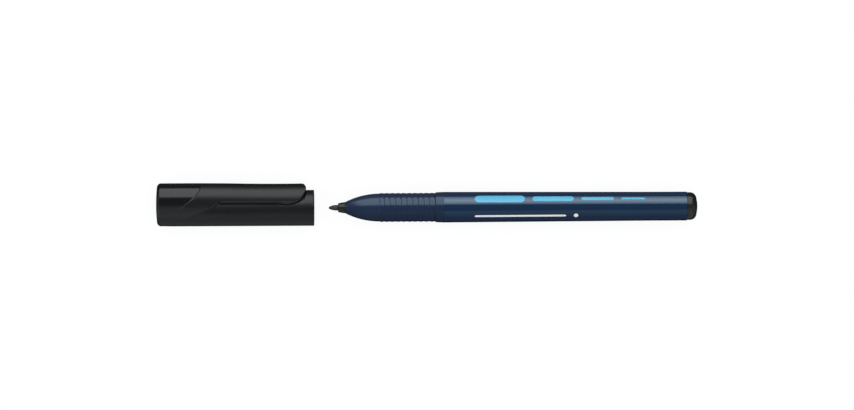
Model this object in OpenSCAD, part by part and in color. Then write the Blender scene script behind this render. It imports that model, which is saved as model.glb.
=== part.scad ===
// Permanent marker with a fibre nib and an ink core, shown with its cap pulled off.
// The marker lies along X with its nib towards -X, and the cap lies in line in front of the nib.
// The pocket clip points to +Y, so that the cap rests on its flat side. Sizes are in millimetres.
// Places along X are measured on the marker's axis, from the shoulder where barrel and grip meet.

/* [Barrel] */
// Length of the barrel tube
barrel_len = 82.6; // [60:0.1:120]
// Outside diameter of the barrel at the shoulder
barrel_d = 10.4; // [9.6:0.05:13]
// Difference in diameter between the shoulder and the tail
barrel_taper = 0.6; // [0.2:0.05:1]
// Length of the straight tail, where a cap can be pushed on
tail_len = 12.4; // [4:0.1:30]
// Wall of the barrel at the shoulder
barrel_wall = 1; // [0.8:0.05:1.2]
// Chamfer on the barrel's rear edge
barrel_chamfer = 0.3; // [0.1:0.05:0.4]
// Number of ribs inside the barrel that centre the ink core
core_rib_count = 4; // [3:1:8]
// Width of one of those ribs
core_rib_w = 0.8; // [0.4:0.1:1.2]

/* [End plug] */
// Length of the plug that shows behind the barrel
plug_len = 3.6; // [2.8:0.1:8]
// Step from the tail down to the plug's head, on each side
plug_step = 0.2; // [0.05:0.05:0.5]
// Rounding of the plug's rear edge
plug_corner_r = 2.2; // [0.6:0.1:2.6]
// Height of the crown on the plug's rear face
plug_dome = 0.3; // [0.1:0.05:0.6]
// Length of the plug's spigot inside the barrel
plug_spigot_len = 6; // [3:0.1:12]
// Wall of the plug's hollow spigot
plug_wall = 1; // [0.85:0.05:1.4]
// Thickness left behind the plug's hollow
plug_floor = 2; // [1:0.1:2.6]

/* [Grip section] */
// Length of the ribbed grip
ribbed_len = 18.8; // [10:0.1:30]
// Length of the collar next to the barrel
collar_len = 3; // [1.5:0.1:6]
// Difference in diameter between the collar's two ends
collar_taper = 0.25; // [0.1:0.05:0.4]
// Step from the collar down to the grip ribs, on each side
collar_step = 0.18; // [0.1:0.01:0.4]
// Chamfer on the collar's front edge
collar_chamfer = 0.15; // [0.05:0.01:0.17]
// Distance from groove to groove
groove_pitch = 1.9; // [1.2:0.05:3]
// Radius of the round groove section
groove_r = 0.42; // [0.32:0.02:0.55]
// Depth of a groove
groove_depth = 0.24; // [0.1:0.02:0.3]
// Step from the grip ribs down to the smooth nose, on each side
nose_step = 0.15; // [0.05:0.01:0.3]
// Length of the curved nose
nose_len = 11.4; // [9:0.1:14]
// Lip of the nose round the foot of the nib holder
nose_lip = 0.08; // [0.04:0.01:0.3]
// Length of the spigot inside the barrel
spigot_len = 8; // [4:0.1:16]
// Wall of that spigot
spigot_wall = 0.55; // [0.4:0.05:0.8]
// Depth of the bore that holds the nib holder
holder_bore_len = 8; // [5:0.1:11]
// Length of the room between the nib holder and the ink core
front_room_len = 10.2; // [4:0.1:14]
// Step that stops the ink core, on each side
core_step = 0.7; // [0.4:0.05:1.2]

/* [Nib and holder] */
// Diameter of the nib
nib_d = 1.9; // [1.2:0.05:2.4]
// Length of the nib in front of its holder
nib_out = 3.15; // [2.4:0.05:5]
// Length of the nib's curved point
nib_point_len = 2.1; // [1:0.05:2.4]
// Diameter of the blunt end of the point
nib_tip_d = 0.3; // [0.1:0.05:0.6]
// Length of the nib inside the ink core
nib_in_core = 6; // [3:0.1:12]
// Length of the holder in front of the nose
holder_len = 2.75; // [2:0.05:5]
// Wall of the holder round the nib, at its front
holder_lip = 0.56; // [0.45:0.02:0.8]
// Chamfer on the holder's front edge
holder_chamfer = 0.3; // [0.1:0.05:0.4]
// Wall of the holder's shank round the nib
shank_wall = 0.55; // [0.45:0.05:0.7]
// Shoulder of the holder that seats on the nose
holder_shoulder = 0.48; // [0.3:0.02:0.7]
// Number of air grooves along the shank
flute_count = 6; // [3:1:8]
// Width of an air groove
flute_w = 0.4; // [0.2:0.05:0.5]
// Depth of an air groove in the shank
flute_depth = 0.25; // [0.1:0.05:0.35]
// Length by which the air grooves open in front of the nose
flute_mouth = 0.35; // [0.2:0.05:0.8]

/* [Ink core] */
// Thickness of the film round the ink core
film_t = 0.15; // [0.05:0.05:0.3]

/* [Cap] */
// Wall of the cap at its mouth
cap_wall = 0.83; // [0.75:0.01:1.2]
// Rounding of the closed end
crown_corner_r = 1.35; // [0.6:0.05:2]
// Height of the crown on the closed end
crown_dome = 0.3; // [0.1:0.05:0.5]
// Thickness of the closed end
crown_floor = 3.2; // [2.4:0.1:5]
// Chamfer on the mouth's outer edge
mouth_chamfer = 0.35; // [0.1:0.05:0.45]
// Length by which the straight bore at the mouth runs past the collar
land_past_collar = 1; // [0.2:0.1:4]
// Gap between the nib and the mouth of the cap that is pulled off
cap_off_gap = 5; // [1:0.1:40]

/* [Pocket clip] */
// Distance from the closed end to the clip's springy root
clip_root = 21.8; // [16:0.1:28]
// Distance from the mouth to the clip's tip
clip_setback = 2.8; // [1:0.1:6]
// Gap between clip and tube on the clip's middle line
clip_gap = 1; // [0.6:0.05:1.4]
// Thickness of the clip on its middle line
clip_t = 1.5; // [1.1:0.05:2]
// Height of the clip's long edge above the cap's axis
clip_edge_y = 2.1; // [1.8:0.05:2.4]
// Thickness of the clip along that edge
clip_edge_t = 0.4; // [0.3:0.02:0.5]
// Radius of the clip's rounded end lobe, seen from the side
lobe_r = 4.25; // [3.4:0.05:5]
// Distance from the clip's tip to the middle of the lobe
lobe_back = 5.8; // [5:0.1:8]
// Depth of the lobe below the clip's long edge
lobe_drop = 0.85; // [0.3:0.05:1]
// Slope of the clip's end, in degrees
lobe_slope = 50; // [42:1:56]
// Rounding of the clip's tip, seen from the side
tip_corner_r = 1.7; // [0.6:0.1:2]
// Length of the bead inside the tip that nips the cloth
bead_len = 3; // [1:0.1:4]
// Length over which the edge of the clip's root sweeps down and round to the far side of the cap
sweep_len = 13.2; // [6:0.1:14]

/* [Inner cap] */
// Distance from the nose's front to where the inner cap seals on it
seal_back = 3.5; // [1.5:0.1:6]
// Length of the sealing cone
seal_len = 1.2; // [0.6:0.1:2]
// Step from the cap's bore down to the seat of the inner cap, on each side
seat_step = 0.23; // [0.1:0.01:0.4]
// Room between the nib and the inner cap's floor
nib_room = 2.5; // [1:0.1:6]
// Floor of the inner cap
inner_floor = 1; // [0.6:0.1:2]
// Length of the inner cap's skirt behind that floor
skirt_len = 7.9; // [3:0.1:16]

/* [Fits] */
// Radial gap of pressed pieces
press_gap = 0.02; // [0.01:0.01:0.04]
// Radial gap round the ink core
core_gap = 0.05; // [0.02:0.01:0.1]
// Radial gap between the cap's mouth and the collar
cap_gap = 0.06; // [0.03:0.01:0.1]
// Radial gap between the cap's bore and the grip ribs
grip_gap = 0.13; // [0.06:0.01:0.2]
// Gap between the inner cap and the nose when the cap is on
seal_gap = 0.08; // [0.04:0.01:0.12]
// Gap between the clip's sides and the tube
clip_side_gap = 0.12; // [0.08:0.01:0.2]
// Width of the shadow gap below the clip's edge
shadow_gap = 0.25; // [0.2:0.01:0.4]
// Gap between the bead and the tube
bead_gap = 0.15; // [0.1:0.01:0.3]
// Gap at the clip's springy root
flex_gap = 0.04; // [0.02:0.01:0.08]

/* [Hidden] */
$fn = 96;
// Overrun of cutting tools past the faces that they open
cut = 1;
// Depth by which a rib or a joined block sinks into its neighbour
sink = 0.3;
// Angle by which the clip's sloped end cuts into the round of its lobe
slope_cut = 8;

// Outside diameters, each a step down from the last
tail_d = barrel_d - barrel_taper;
plug_d = tail_d - 2 * plug_step;
collar_front_d = barrel_d - collar_taper;
grip_d = collar_front_d - 2 * collar_step;
nose_d = grip_d - 2 * nose_step;

// Diameters inside the marker, from the barrel's bore to the ink core
barrel_bore_d = barrel_d - 2 * barrel_wall;
spigot_d = barrel_bore_d - 2 * press_gap;
core_room_d = spigot_d - 2 * spigot_wall;
front_room_d = core_room_d - 2 * core_step;
wrap_d = core_room_d - 2 * core_gap;
core_d = wrap_d - 2 * film_t - 2 * press_gap;

// Diameters round the nib, from the nib out to the nose
nib_bore_d = nib_d + 2 * press_gap;
holder_front_d = nib_bore_d + 2 * holder_lip;
shank_d = nib_bore_d + 2 * shank_wall;
holder_bore_d = shank_d + 2 * press_gap;
holder_base_d = shank_d + 2 * holder_shoulder;
nose_front_d = holder_base_d + 2 * nose_lip;

// Places along the marker
ribs_x = -collar_len - ribbed_len;
nose_x = ribs_x - nose_len;
holder_x = nose_x - holder_len;
nib_x = holder_x - nib_out;
core_x = nose_x + holder_bore_len + front_room_len;
core_end_x = barrel_len - plug_spigot_len;
tail_x = barrel_len - tail_len;
rear_x = barrel_len + plug_len;

// The row of grooves starts against the collar and leaves a rib in front
groove_half_w = sqrt(pow(groove_r, 2) - pow(groove_r - groove_depth, 2));
groove_count = floor((ribbed_len - 2 * groove_half_w) / groove_pitch) + 1;

// The cap that is pulled off: its mouth would reach the shoulder when pushed on
mouth_d = barrel_d + 2 * cap_gap;
cap_r = mouth_d / 2 + cap_wall;
grip_bore_d = grip_d + 2 * grip_gap;
mouth_x = nib_x - cap_off_gap;
land_x = mouth_x - collar_len - land_past_collar;
cup_floor_x = mouth_x + nib_x - nib_room;
cap_room_x = cup_floor_x - inner_floor - skirt_len;
cap_x = cap_room_x - crown_floor;

// The inner cap seals on the nose with a cone that follows the nose's curve
nose_arc_r = arc_radius(nose_len, (nose_d - nose_front_d) / 2);
inner_seat_d = grip_bore_d - 2 * seat_step;
inner_cap_d = inner_seat_d - 2 * press_gap;
inner_bore_d = nose_d_at(nose_x + seal_back) + 2 * seal_gap;
inner_rim_d = nose_d_at(nose_x + seal_back + seal_len) + 2 * seal_gap;
seal_x = mouth_x + nose_x + seal_back;
seal_rim_x = seal_x + seal_len;

// The clip, whose curves are circles on its middle line when seen along the marker
cap_rise = clip_gap + clip_t;
clip_top_y = cap_r + cap_rise;
clip_under_y = cap_r + clip_gap;
under_r = circle_through(clip_under_y - clip_edge_y, cap_r - clip_edge_t);
under_y = clip_under_y - under_r;
root_x = cap_x + clip_root;
tip_x = mouth_x - clip_setback;

// The origin is under the middle of the part, on the surface that it lies on
axis_place = [-(cap_x + rear_x) / 2, -cap_rise / 2, cap_r];

// Radius of an arc that starts along the axis and drops by this much over this length
function arc_radius(length, drop) = (length * length + drop * drop) / (2 * drop);
// Radius of a circle whose top is this high over the place where it has this half width
function circle_through(height, half_width) = (half_width * half_width + height * height) / (2 * height);
// Diameter of the nose at a place along the marker
function nose_d_at(x) = nose_d - 2 * (nose_arc_r - sqrt(pow(nose_arc_r, 2) - pow(ribs_x - x, 2)));

// Puts a piece that is drawn on the marker's axis into its place
module on_axis() {
    translate(axis_place) children();
}

// A round piece from one place on the axis to another, straight or tapered
module turned(from, to, d, end_d) {
    translate([from, 0, 0]) rotate([0, 90, 0])
        cylinder(h = to - from, d1 = d, d2 = is_undef(end_d) ? d : end_d);
}

// Spins a profile whose x is the radius and whose y is the place along the marker
module lathe(angle = 360) {
    rotate([0, 90, 0]) rotate_extrude(angle = angle) children();
}

// A shape drawn in the cross-section, as [height above the axis, width], drawn out along the marker
module drawn_out(from, to) {
    translate([from, 0, 0]) multmatrix([[0, 0, 1, 0], [1, 0, 0, 0], [0, 1, 0, 0]])
        linear_extrude(to - from) children();
}

// A side-view shape drawn out to both sides, past the widest part of the cap
module across() {
    linear_extrude(2 * (cap_r + cut), center = true) children();
}

// Half profile of a round bar with a rounded and crowned end at the given place
module crowned_profile(r, from, to, corner_r, dome) {
    dome_r = arc_radius(r, dome);
    intersection() {
        union() {
            translate([0, from + corner_r]) square([r, to - from - corner_r]);
            translate([0, from]) square([r - corner_r, corner_r]);
            intersection() {
                translate([r - corner_r, from + corner_r]) circle(corner_r);
                translate([r - corner_r, from]) square(corner_r);
            }
        }
        translate([0, from + dome_r]) circle(dome_r);
    }
}

module barrel() {
    rib_r = core_room_d / 2;
    rib_from = spigot_len + cut;
    rib_to = core_end_x - cut;
    color("midnightblue") on_axis() {
        difference() {
            union() {
                turned(0, tail_x, barrel_d, tail_d);
                turned(tail_x, barrel_len - barrel_chamfer, tail_d);
                turned(barrel_len - barrel_chamfer, barrel_len, tail_d, tail_d - 2 * barrel_chamfer);
            }
            turned(-cut, barrel_len + cut, barrel_bore_d);
        }
        for (i = [0 : core_rib_count - 1])
            rotate([i * 360 / core_rib_count, 0, 0])
                translate([rib_from, -core_rib_w / 2, rib_r])
                    cube([rib_to - rib_from, core_rib_w, barrel_bore_d / 2 + sink - rib_r]);
    }
}

module end_plug() {
    plug_spigot_d = barrel_bore_d - 2 * press_gap;
    color("black") on_axis() difference() {
        union() {
            mirror([1, 0, 0]) lathe()
                crowned_profile(plug_d / 2, -rear_x, -barrel_len, plug_corner_r, plug_dome);
            turned(core_end_x, barrel_len + sink, plug_spigot_d);
        }
        turned(core_end_x - cut, rear_x - plug_floor, plug_spigot_d - 2 * plug_wall);
    }
}

module grip_section() {
    color("midnightblue") on_axis() difference() {
        union() {
            lathe() {
                nose_outline();
                ribbed_outline();
            }
            turned(-collar_len, -collar_len + collar_chamfer,
                   collar_front_d - 2 * collar_chamfer, collar_front_d);
            turned(-collar_len + collar_chamfer, 0, collar_front_d, barrel_d);
            turned(-sink, spigot_len, spigot_d);
        }
        turned(nose_x - cut, core_x, holder_bore_d);
        turned(nose_x + holder_bore_len, core_x, front_room_d);
        turned(core_x, spigot_len + cut, core_room_d);
    }
}

// The nose swells from its front face along one arc
module nose_outline() {
    intersection() {
        translate([nose_d / 2 - nose_arc_r, ribs_x]) circle(nose_arc_r, $fn = 256);
        translate([0, nose_x]) square([nose_d, nose_len]);
    }
}

// The grip's straight outline, with a row of round grooves counted from the collar
module ribbed_outline() {
    difference() {
        translate([0, ribs_x]) square([grip_d / 2, ribbed_len + sink]);
        for (i = [0 : groove_count - 1])
            translate([grip_d / 2 - groove_depth + groove_r, -collar_len - groove_half_w - i * groove_pitch])
                circle(groove_r);
    }
}

module nib_holder() {
    shank_x = nose_x + holder_bore_len;
    color("black") on_axis() difference() {
        union() {
            turned(holder_x, holder_x + holder_chamfer, holder_front_d - 2 * holder_chamfer, holder_front_d);
            turned(holder_x + holder_chamfer, nose_x, holder_front_d, holder_base_d);
            turned(nose_x - sink, shank_x, shank_d);
        }
        turned(holder_x - cut, shank_x + cut, nib_bore_d);
        for (i = [0 : flute_count - 1])
            rotate([(i + 0.5) * 360 / flute_count, 0, 0])
                translate([nose_x - flute_mouth, -flute_w / 2, shank_d / 2 - flute_depth])
                    cube([flute_mouth + holder_bore_len + cut, flute_w, holder_base_d]);
    }
}

module nib() {
    point_r = arc_radius(nib_point_len, (nib_d - nib_tip_d) / 2);
    point_x = nib_x + nib_point_len;
    color("dimgray") on_axis() {
        lathe() intersection() {
            translate([nib_d / 2 - point_r, point_x]) circle(point_r);
            translate([0, nib_x]) square([nib_d, nib_point_len]);
        }
        turned(point_x, core_x + nib_in_core, nib_d);
    }
}

module ink_core() {
    color("dimgray") on_axis() difference() {
        turned(core_x, core_end_x, core_d);
        turned(core_x - cut, core_x + nib_in_core, nib_bore_d);
    }
}

module core_wrap() {
    color("gainsboro") on_axis() difference() {
        turned(core_x, core_end_x, wrap_d);
        turned(core_x - cut, core_end_x + cut, wrap_d - 2 * film_t);
    }
}

// The clip's outer cross-section: a round top on flat sides
module clip_section() {
    translate([0, -cap_r]) square([cap_rise, 2 * cap_r]);
    intersection() {
        translate([cap_rise, 0]) circle(cap_r);
        translate([cap_rise, -cap_r - cut]) square([cap_r + cut, 2 * (cap_r + cut)]);
    }
}

// The clip's underside, seen along the marker, drawn in by a gap
module under_circle(gap = 0) {
    translate([under_y, 0]) circle(under_r - gap);
}

// The clip's outline seen from the side, with its lobe and sloped end, grown by an amount
module clip_outline(grow = 0) {
    lobe_x = tip_x - lobe_back;
    lobe_y = clip_edge_y - lobe_drop + lobe_r;
    r = lobe_r + grow;
    end_x = tip_x + grow;
    over_y = clip_top_y + cut;
    block_y = lobe_y - r * cos(lobe_slope);
    slope_start = [lobe_x + r * sin(lobe_slope - slope_cut), lobe_y - r * cos(lobe_slope - slope_cut)];
    slope_end_y = slope_start.y + (end_x - slope_start.x) * tan(lobe_slope);
    difference() {
        union() {
            translate([root_x, clip_edge_y - grow]) square([lobe_x - root_x, over_y - clip_edge_y + grow]);
            translate([lobe_x, lobe_y]) circle(r);
            translate([lobe_x, block_y]) square([end_x - lobe_x, over_y - block_y]);
        }
        translate([end_x, slope_end_y]) rotate(lobe_slope)
            translate([-3 * r, -3 * r]) square([4 * r, 3 * r]);
    }
}

// What is taken off the clip's upper corner to round its tip, seen from the side
module tip_corner() {
    translate([tip_x - tip_corner_r, clip_top_y - tip_corner_r]) difference() {
        square(tip_corner_r + 2 * cut);
        circle(tip_corner_r);
    }
}

// The crown and the clip's root seen from the side, as far as the sweep of the root's edge
module crown_outline() {
    over = clip_top_y + cut;
    sweep = sweep_len / (clip_edge_y + cap_r);
    polygon([[cap_x - cut, -over], [root_x - sweep * (clip_edge_y + over), -over], [root_x, clip_edge_y],
             [root_x, over], [cap_x - cut, over]]);
}

// The crown: two round sides with flats between them, and a rounded and crowned end
module crown() {
    intersection() {
        union() {
            translate([0, cap_rise, 0]) lathe(180) crown_profile();
            translate([0, cap_rise, 0]) rotate([90, 0, 0]) linear_extrude(cap_rise)
                for (side = [0, 1]) mirror([0, side]) rotate(-90) mirror([1, 0]) crown_profile();
            mirror([0, 1, 0]) lathe(180) crown_profile();
        }
        across() crown_outline();
    }
}

module crown_profile() {
    crowned_profile(cap_r, cap_x, root_x + cut, crown_corner_r, crown_dome);
}

module cap_shell() {
    color("#1c1d1f") on_axis() difference() {
        union() {
            crown();
            difference() {
                turned(cap_x, mouth_x - mouth_chamfer, 2 * cap_r);
                across() crown_outline();
            }
            turned(mouth_x - mouth_chamfer, mouth_x, 2 * cap_r, 2 * (cap_r - mouth_chamfer));
        }
        clip_relief();
        turned(land_x, mouth_x + cut, mouth_d);
        turned(mouth_x + ribs_x, land_x, grip_bore_d, mouth_d);
        turned(seal_rim_x, mouth_x + ribs_x, grip_bore_d);
        turned(cap_room_x, seal_rim_x, inner_seat_d);
    }
}

// The shallow recess in the tube that the clip's edges lie in
module clip_relief() {
    intersection() {
        drawn_out(root_x, tip_x + shadow_gap) difference() {
            translate([0, -cap_r - cut]) square([clip_top_y, 2 * (cap_r + cut)]);
            under_circle(clip_side_gap);
        }
        across() clip_outline(shadow_gap);
    }
}

module pocket_clip() {
    color("#1c1d1f") on_axis() difference() {
        intersection() {
            drawn_out(root_x + flex_gap, tip_x) clip_section();
            across() difference() {
                clip_outline();
                tip_corner();
            }
        }
        drawn_out(root_x - cut, tip_x - bead_len) under_circle();
        drawn_out(tip_x - bead_len, tip_x + cut) intersection() {
            under_circle();
            circle(cap_r + bead_gap);
        }
    }
}

module inner_cap() {
    color("whitesmoke") on_axis() difference() {
        turned(cap_room_x, seal_rim_x, inner_cap_d);
        turned(seal_x, seal_rim_x, inner_bore_d, inner_rim_d);
        turned(cup_floor_x, seal_x, inner_bore_d);
        turned(cap_room_x - cut, cup_floor_x - inner_floor, inner_bore_d);
    }
}

barrel();
grip_section();
nib_holder();
nib();
ink_core();
core_wrap();
end_plug();
cap_shell();
pocket_clip();
inner_cap();
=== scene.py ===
"""Looks of a permanent marker and its pulled-off cap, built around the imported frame.

Lengths are in millimetres unless a name says otherwise, and are measured from the
shoulder, the middle of the barrel's front end: x runs along the marker from nib to
tail, y points the way of the cap's clip, and z rises from the table.
"""

import logging
import math
from abc import ABC, abstractmethod
from dataclasses import dataclass
from enum import Enum, IntEnum
from typing import ClassVar, Optional, Protocol, Sequence, Union

import bpy
import numpy as np
from mathutils import Matrix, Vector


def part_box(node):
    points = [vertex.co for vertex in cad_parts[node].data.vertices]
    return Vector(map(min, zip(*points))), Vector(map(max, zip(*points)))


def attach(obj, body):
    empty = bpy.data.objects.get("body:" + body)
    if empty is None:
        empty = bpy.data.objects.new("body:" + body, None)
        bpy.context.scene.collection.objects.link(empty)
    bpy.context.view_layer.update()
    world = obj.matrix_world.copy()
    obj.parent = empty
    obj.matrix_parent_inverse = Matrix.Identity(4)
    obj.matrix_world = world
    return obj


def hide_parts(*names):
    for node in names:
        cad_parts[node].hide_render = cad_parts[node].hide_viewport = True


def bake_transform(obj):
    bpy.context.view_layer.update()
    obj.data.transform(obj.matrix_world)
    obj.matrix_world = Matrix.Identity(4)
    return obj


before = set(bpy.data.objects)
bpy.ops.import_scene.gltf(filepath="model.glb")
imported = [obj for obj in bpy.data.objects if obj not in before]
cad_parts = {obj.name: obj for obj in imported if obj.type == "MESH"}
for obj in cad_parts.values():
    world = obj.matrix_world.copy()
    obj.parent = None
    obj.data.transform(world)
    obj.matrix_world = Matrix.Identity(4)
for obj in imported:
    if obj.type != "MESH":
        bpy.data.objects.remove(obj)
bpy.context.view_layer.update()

LOG = logging.getLogger("marker")
MM = 0.001
# Name of the point layer that lays painted highlights and painted sheen on the cap and clip
GLINT_ATTRIBUTE = "painted_glint"
# Keeps a divisor from being 0
TINY = 1e-12
# Points closer than this are one
MERGE = 1e-6
# Edges that turn by more degrees than this are sharp
CREASE = 38.0

Array = np.ndarray
Colour = tuple[float, float, float]
Knots = tuple[tuple[float, float], ...]
Corners = Sequence[tuple[float, float, float]]
Surface = tuple[Array, list[list[int]]]
Level = Union[Array, float, "Sock"]

WHITE: Colour = (1.0, 1.0, 1.0)


class Body(Enum):
    """The bodies of the frame that a piece can ride on."""

    PEN = "pen"
    CAP = "cap"
    CLIP = "clip"


class Ends(Enum):
    """How the first and last rows of a grid close."""

    JOINED = "joined"
    POLES = "poles"
    FLAT = "flat"


class Skin(IntEnum):
    """The cap's finishes, in the order of its material slots."""

    CROWN = 0
    BAND = 1
    TUBE = 2


@dataclass(frozen=True)
class Role:
    """What a piece is in the frame.

    Attributes:
        name: The piece's name.
        node: The CAD node that it stands for.
        slot: The record's material slot; not used.
        body: The body that it rides on, or None where it is attached to no body.
    """

    name: str
    node: str
    slot: str
    body: Optional[Body] = Body.PEN


@dataclass(frozen=True)
class Span:
    """Where a CAD node lies: its ends along x and its radius across z."""

    start: float
    end: float
    radius: float


@dataclass(frozen=True)
class Datum:
    """The shoulder's middle in the frame, in metres."""

    x: float
    y: float
    z: float

    @classmethod
    def from_barrel(cls) -> "Datum":
        """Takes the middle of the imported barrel's front end."""
        low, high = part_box("barrel")
        return cls(low.x, (low.y + high.y) / 2, (low.z + high.z) / 2)

    def metres(self, points: Array) -> Array:
        """Turns points from the shoulder into points of the frame."""
        return np.array((self.x, self.y, self.z)) + MM * points

    def span(self, node: str) -> Span:
        """Reads where a CAD node lies.

        Args:
            node: The node's name.

        Returns:
            Its ends from the shoulder, and its radius.
        """
        low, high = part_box(node)
        radius = (high.z - low.z) / 2 / MM
        return Span((low.x - self.x) / MM, (high.x - self.x) / MM, radius)


DATUM = Datum.from_barrel()


def smooth_step(value: Array) -> Array:
    """Rises from 0 to 1 with level ends: 3 t squared less 2 t cubed, held outside."""
    share = np.clip(value, 0.0, 1.0)
    return share * share * (3.0 - 2.0 * share)


def mixed(first: Level, last: Level, share: Level) -> Level:
    """Goes straight from first to last by share, for arrays and shader sockets alike."""
    return first + (last - first) * share


def shares(count: int, last: float = 1.0) -> Array:
    """Gives a column of even values from 0 to last."""
    return np.linspace(0, last, count)[:, None]


def smooth_curve(at: Array, knots: Knots) -> Array:
    """Reads a smooth curve through knots.

    Between two knots the value is the cubic with both knots' values and slopes. A
    knot's slope is the weighted harmonic mean of the straight slopes on its two sides,
    or level where they differ in sign, so the curve never overshoots. Beyond the end
    knots it stays level.

    Args:
        at: Where the curve is read.
        knots: Pairs of place and value, in rising places.

    Returns:
        The curve's values, shaped as at is.
    """
    place, value = np.array(knots, float).T
    step = np.diff(place)
    straight = np.diff(value) / step
    before, after = straight[:-1], straight[1:]
    same = before * after > 0
    share = (2 * step[1:] + step[:-1]) / (3 * (step[1:] + step[:-1]))
    pull = share / np.where(same, before, 1.0) + (1 - share) / np.where(same, after, 1.0)
    inner = np.where(same, 1 / np.where(same, pull, 1.0), 0.0)
    slope = np.concatenate((straight[:1], inner, straight[-1:]))
    i = np.clip(np.searchsorted(place, at) - 1, 0, len(place) - 2)
    width = place[i + 1] - place[i]
    t = np.clip((at - place[i]) / width, 0.0, 1.0)
    near = (1 + 2 * t) * (1 - t) ** 2 * value[i] + t * (1 - t) ** 2 * width * slope[i]
    far = t * t * (3 - 2 * t) * value[i + 1] + t * t * (t - 1) * width * slope[i + 1]
    return near + far


def unit(vectors: Array) -> Array:
    """Scales vectors to length one."""
    return vectors / (np.linalg.norm(vectors, axis=-1, keepdims=True) + TINY)


def round_corners(corners: Corners, steps: int = 8) -> Array:
    """Rounds the corners of a closed outline.

    A corner gives way to the arc that touches both its sides: the arc's ends lie
    radius over the tangent of half the corner's angle from the corner, and its points
    are the even turns between those ends about the arc's middle.

    Args:
        corners: Each corner's x, radius about the axis, and rounding.
        steps: Points on each arc.

    Returns:
        Points (x, radius about the axis), with repeated ones dropped.
    """
    table = np.array(corners, float)
    point, rounding = table[:, :2], table[:, 2:]
    back = unit(np.roll(point, 1, axis=0) - point)
    ahead = unit(np.roll(point, -1, axis=0) - point)
    half = np.arccos(np.clip((back * ahead).sum(1, keepdims=True), -1, 1)) / 2
    reach = rounding / np.tan(half)
    middle = point + unit(back + ahead) * rounding / np.sin(half)
    first, last = point + back * reach - middle, point + ahead * reach - middle
    turn = (np.pi - 2 * half)[:, None]
    share = np.linspace(0, 1, steps)[None, :, None]
    arc = np.sin((1 - share) * turn) * first[:, None] + np.sin(share * turn) * last[:, None]
    line = (middle[:, None] + arc / (np.sin(turn) + TINY)).reshape(-1, 2)
    apart = np.linalg.norm(np.diff(line, axis=0), axis=1) > MERGE
    return line[np.concatenate(([True], apart))]


def divided(line: Array, step: float, margin: float = 0.2) -> Array:
    """Adds points to a line, about a step apart.

    Args:
        line: Points (x, radius).
        step: The stretch between the new points.
        margin: How far, in steps, a new point keeps from the line's own.

    Returns:
        The line with its own points and even ones between them.
    """
    along = np.concatenate(([0.0], np.cumsum(np.linalg.norm(np.diff(line, axis=0), axis=1))))
    even = np.linspace(0, along[-1], int(along[-1] / step) + 2)
    clear = np.abs(even[:, None] - along[None, :]).min(1) > margin * step
    every = np.sort(np.concatenate((along, even[clear])))
    return np.stack([np.interp(every, along, line[:, k]) for k in (0, 1)], axis=1)


def turned(profile: Array, columns: int) -> Array:
    """Turns a profile about the marker's axis.

    A profile point (x, r) becomes (x, r cos a, r sin a) for even angles a.

    Args:
        profile: Points (x, r).
        columns: Points in each ring.

    Returns:
        A grid of points, one row for each profile point.
    """
    angle = np.linspace(0, 2 * np.pi, columns, endpoint=False)
    return polar_grid(profile[:, :1], profile[:, 1:], angle[None, :])


def polar_grid(x: Array, radius: Array, angle: Array) -> Array:
    """Places points about the axis: y is radius times cosine, z radius times sine."""
    return np.stack(
        np.broadcast_arrays(x, radius * np.cos(angle), radius * np.sin(angle)), axis=-1
    )


def stadium_radius(angle: Array, radius: Array, rise: Array, stretch: float = 1.0) -> Array:
    """Gives how far a raised section reaches from the axis.

    The section is a circle about the axis below, straight sides, and above them the
    circle moved up by rise and stretched in height. With the height divided by the
    stretch, a point at distance d along angle a, from y, lies on the upper circle where
    d is the larger root of d squared times q, less 2 d p, less radius squared plus the
    squared share of the rise, with q = sine squared plus the squared share of the
    cosine, and p = the rise's share times the cosine's. The sides are radius over sine
    away.

    Args:
        angle: Directions about the axis, from y.
        radius: The circles' radius.
        rise: How far the upper circle's middle stands above the axis.
        stretch: How much higher than wide the upper circle is.

    Returns:
        Distances from the axis, broadcast over the arguments.
    """
    cosine, sine = np.cos(angle), np.maximum(np.abs(np.sin(angle)), TINY)
    q = sine**2 + (cosine / stretch) ** 2
    p = rise * cosine / stretch**2
    upper = (p + np.sqrt(np.maximum(p**2 + q * (radius**2 - (rise / stretch) ** 2), 0))) / q
    side = radius / sine
    above = np.where(side * cosine < rise, side, upper)
    return np.where(cosine > 0, above, radius + 0 * upper)


def grid_faces(rows: int, columns: int, joined: bool) -> Array:
    """Lists a grid's quads, its columns closing round.

    Args:
        rows: Rows of points.
        columns: Points in each row.
        joined: Whether the last row meets the first.

    Returns:
        Four point numbers for each face, row by row.
    """
    row = np.arange(rows if joined else rows - 1)[:, None]
    column = np.arange(columns)[None, :]
    after, beside = (row + 1) % rows, (column + 1) % columns
    quads = (
        row * columns + column,
        row * columns + beside,
        after * columns + beside,
        after * columns + column,
    )
    return np.stack(quads, axis=-1).reshape(-1, 4)


def closed_surface(grid: Array, ends: Ends) -> Surface:
    """Makes a closed surface of a grid.

    Args:
        grid: Rows and columns of points.
        ends: How the first and last rows close. With poles, all points of such a row
            are the same one.

    Returns:
        The points and the faces between them: all quads first, row by row.
    """
    if ends is not Ends.POLES:
        rows, columns = grid.shape[:2]
        faces = grid_faces(rows, columns, ends is Ends.JOINED).tolist()
        if ends is Ends.FLAT:
            first = np.arange(columns)
            faces += [first[::-1].tolist(), (first + (rows - 1) * columns).tolist()]
        return grid.reshape(-1, 3), faces
    inner = grid[1:-1]
    rows, columns = inner.shape[:2]
    ring = np.arange(columns)
    beside = (ring + 1) % columns
    last = (rows - 1) * columns
    start = np.stack((np.full(columns, rows * columns), beside, ring), axis=1)
    stop = np.stack((np.full(columns, rows * columns + 1), last + ring, last + beside), axis=1)
    faces = grid_faces(rows, columns, False).tolist() + start.tolist() + stop.tolist()
    return np.concatenate((inner.reshape(-1, 3), grid[:1, 0], grid[-1:, 0])), faces


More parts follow.
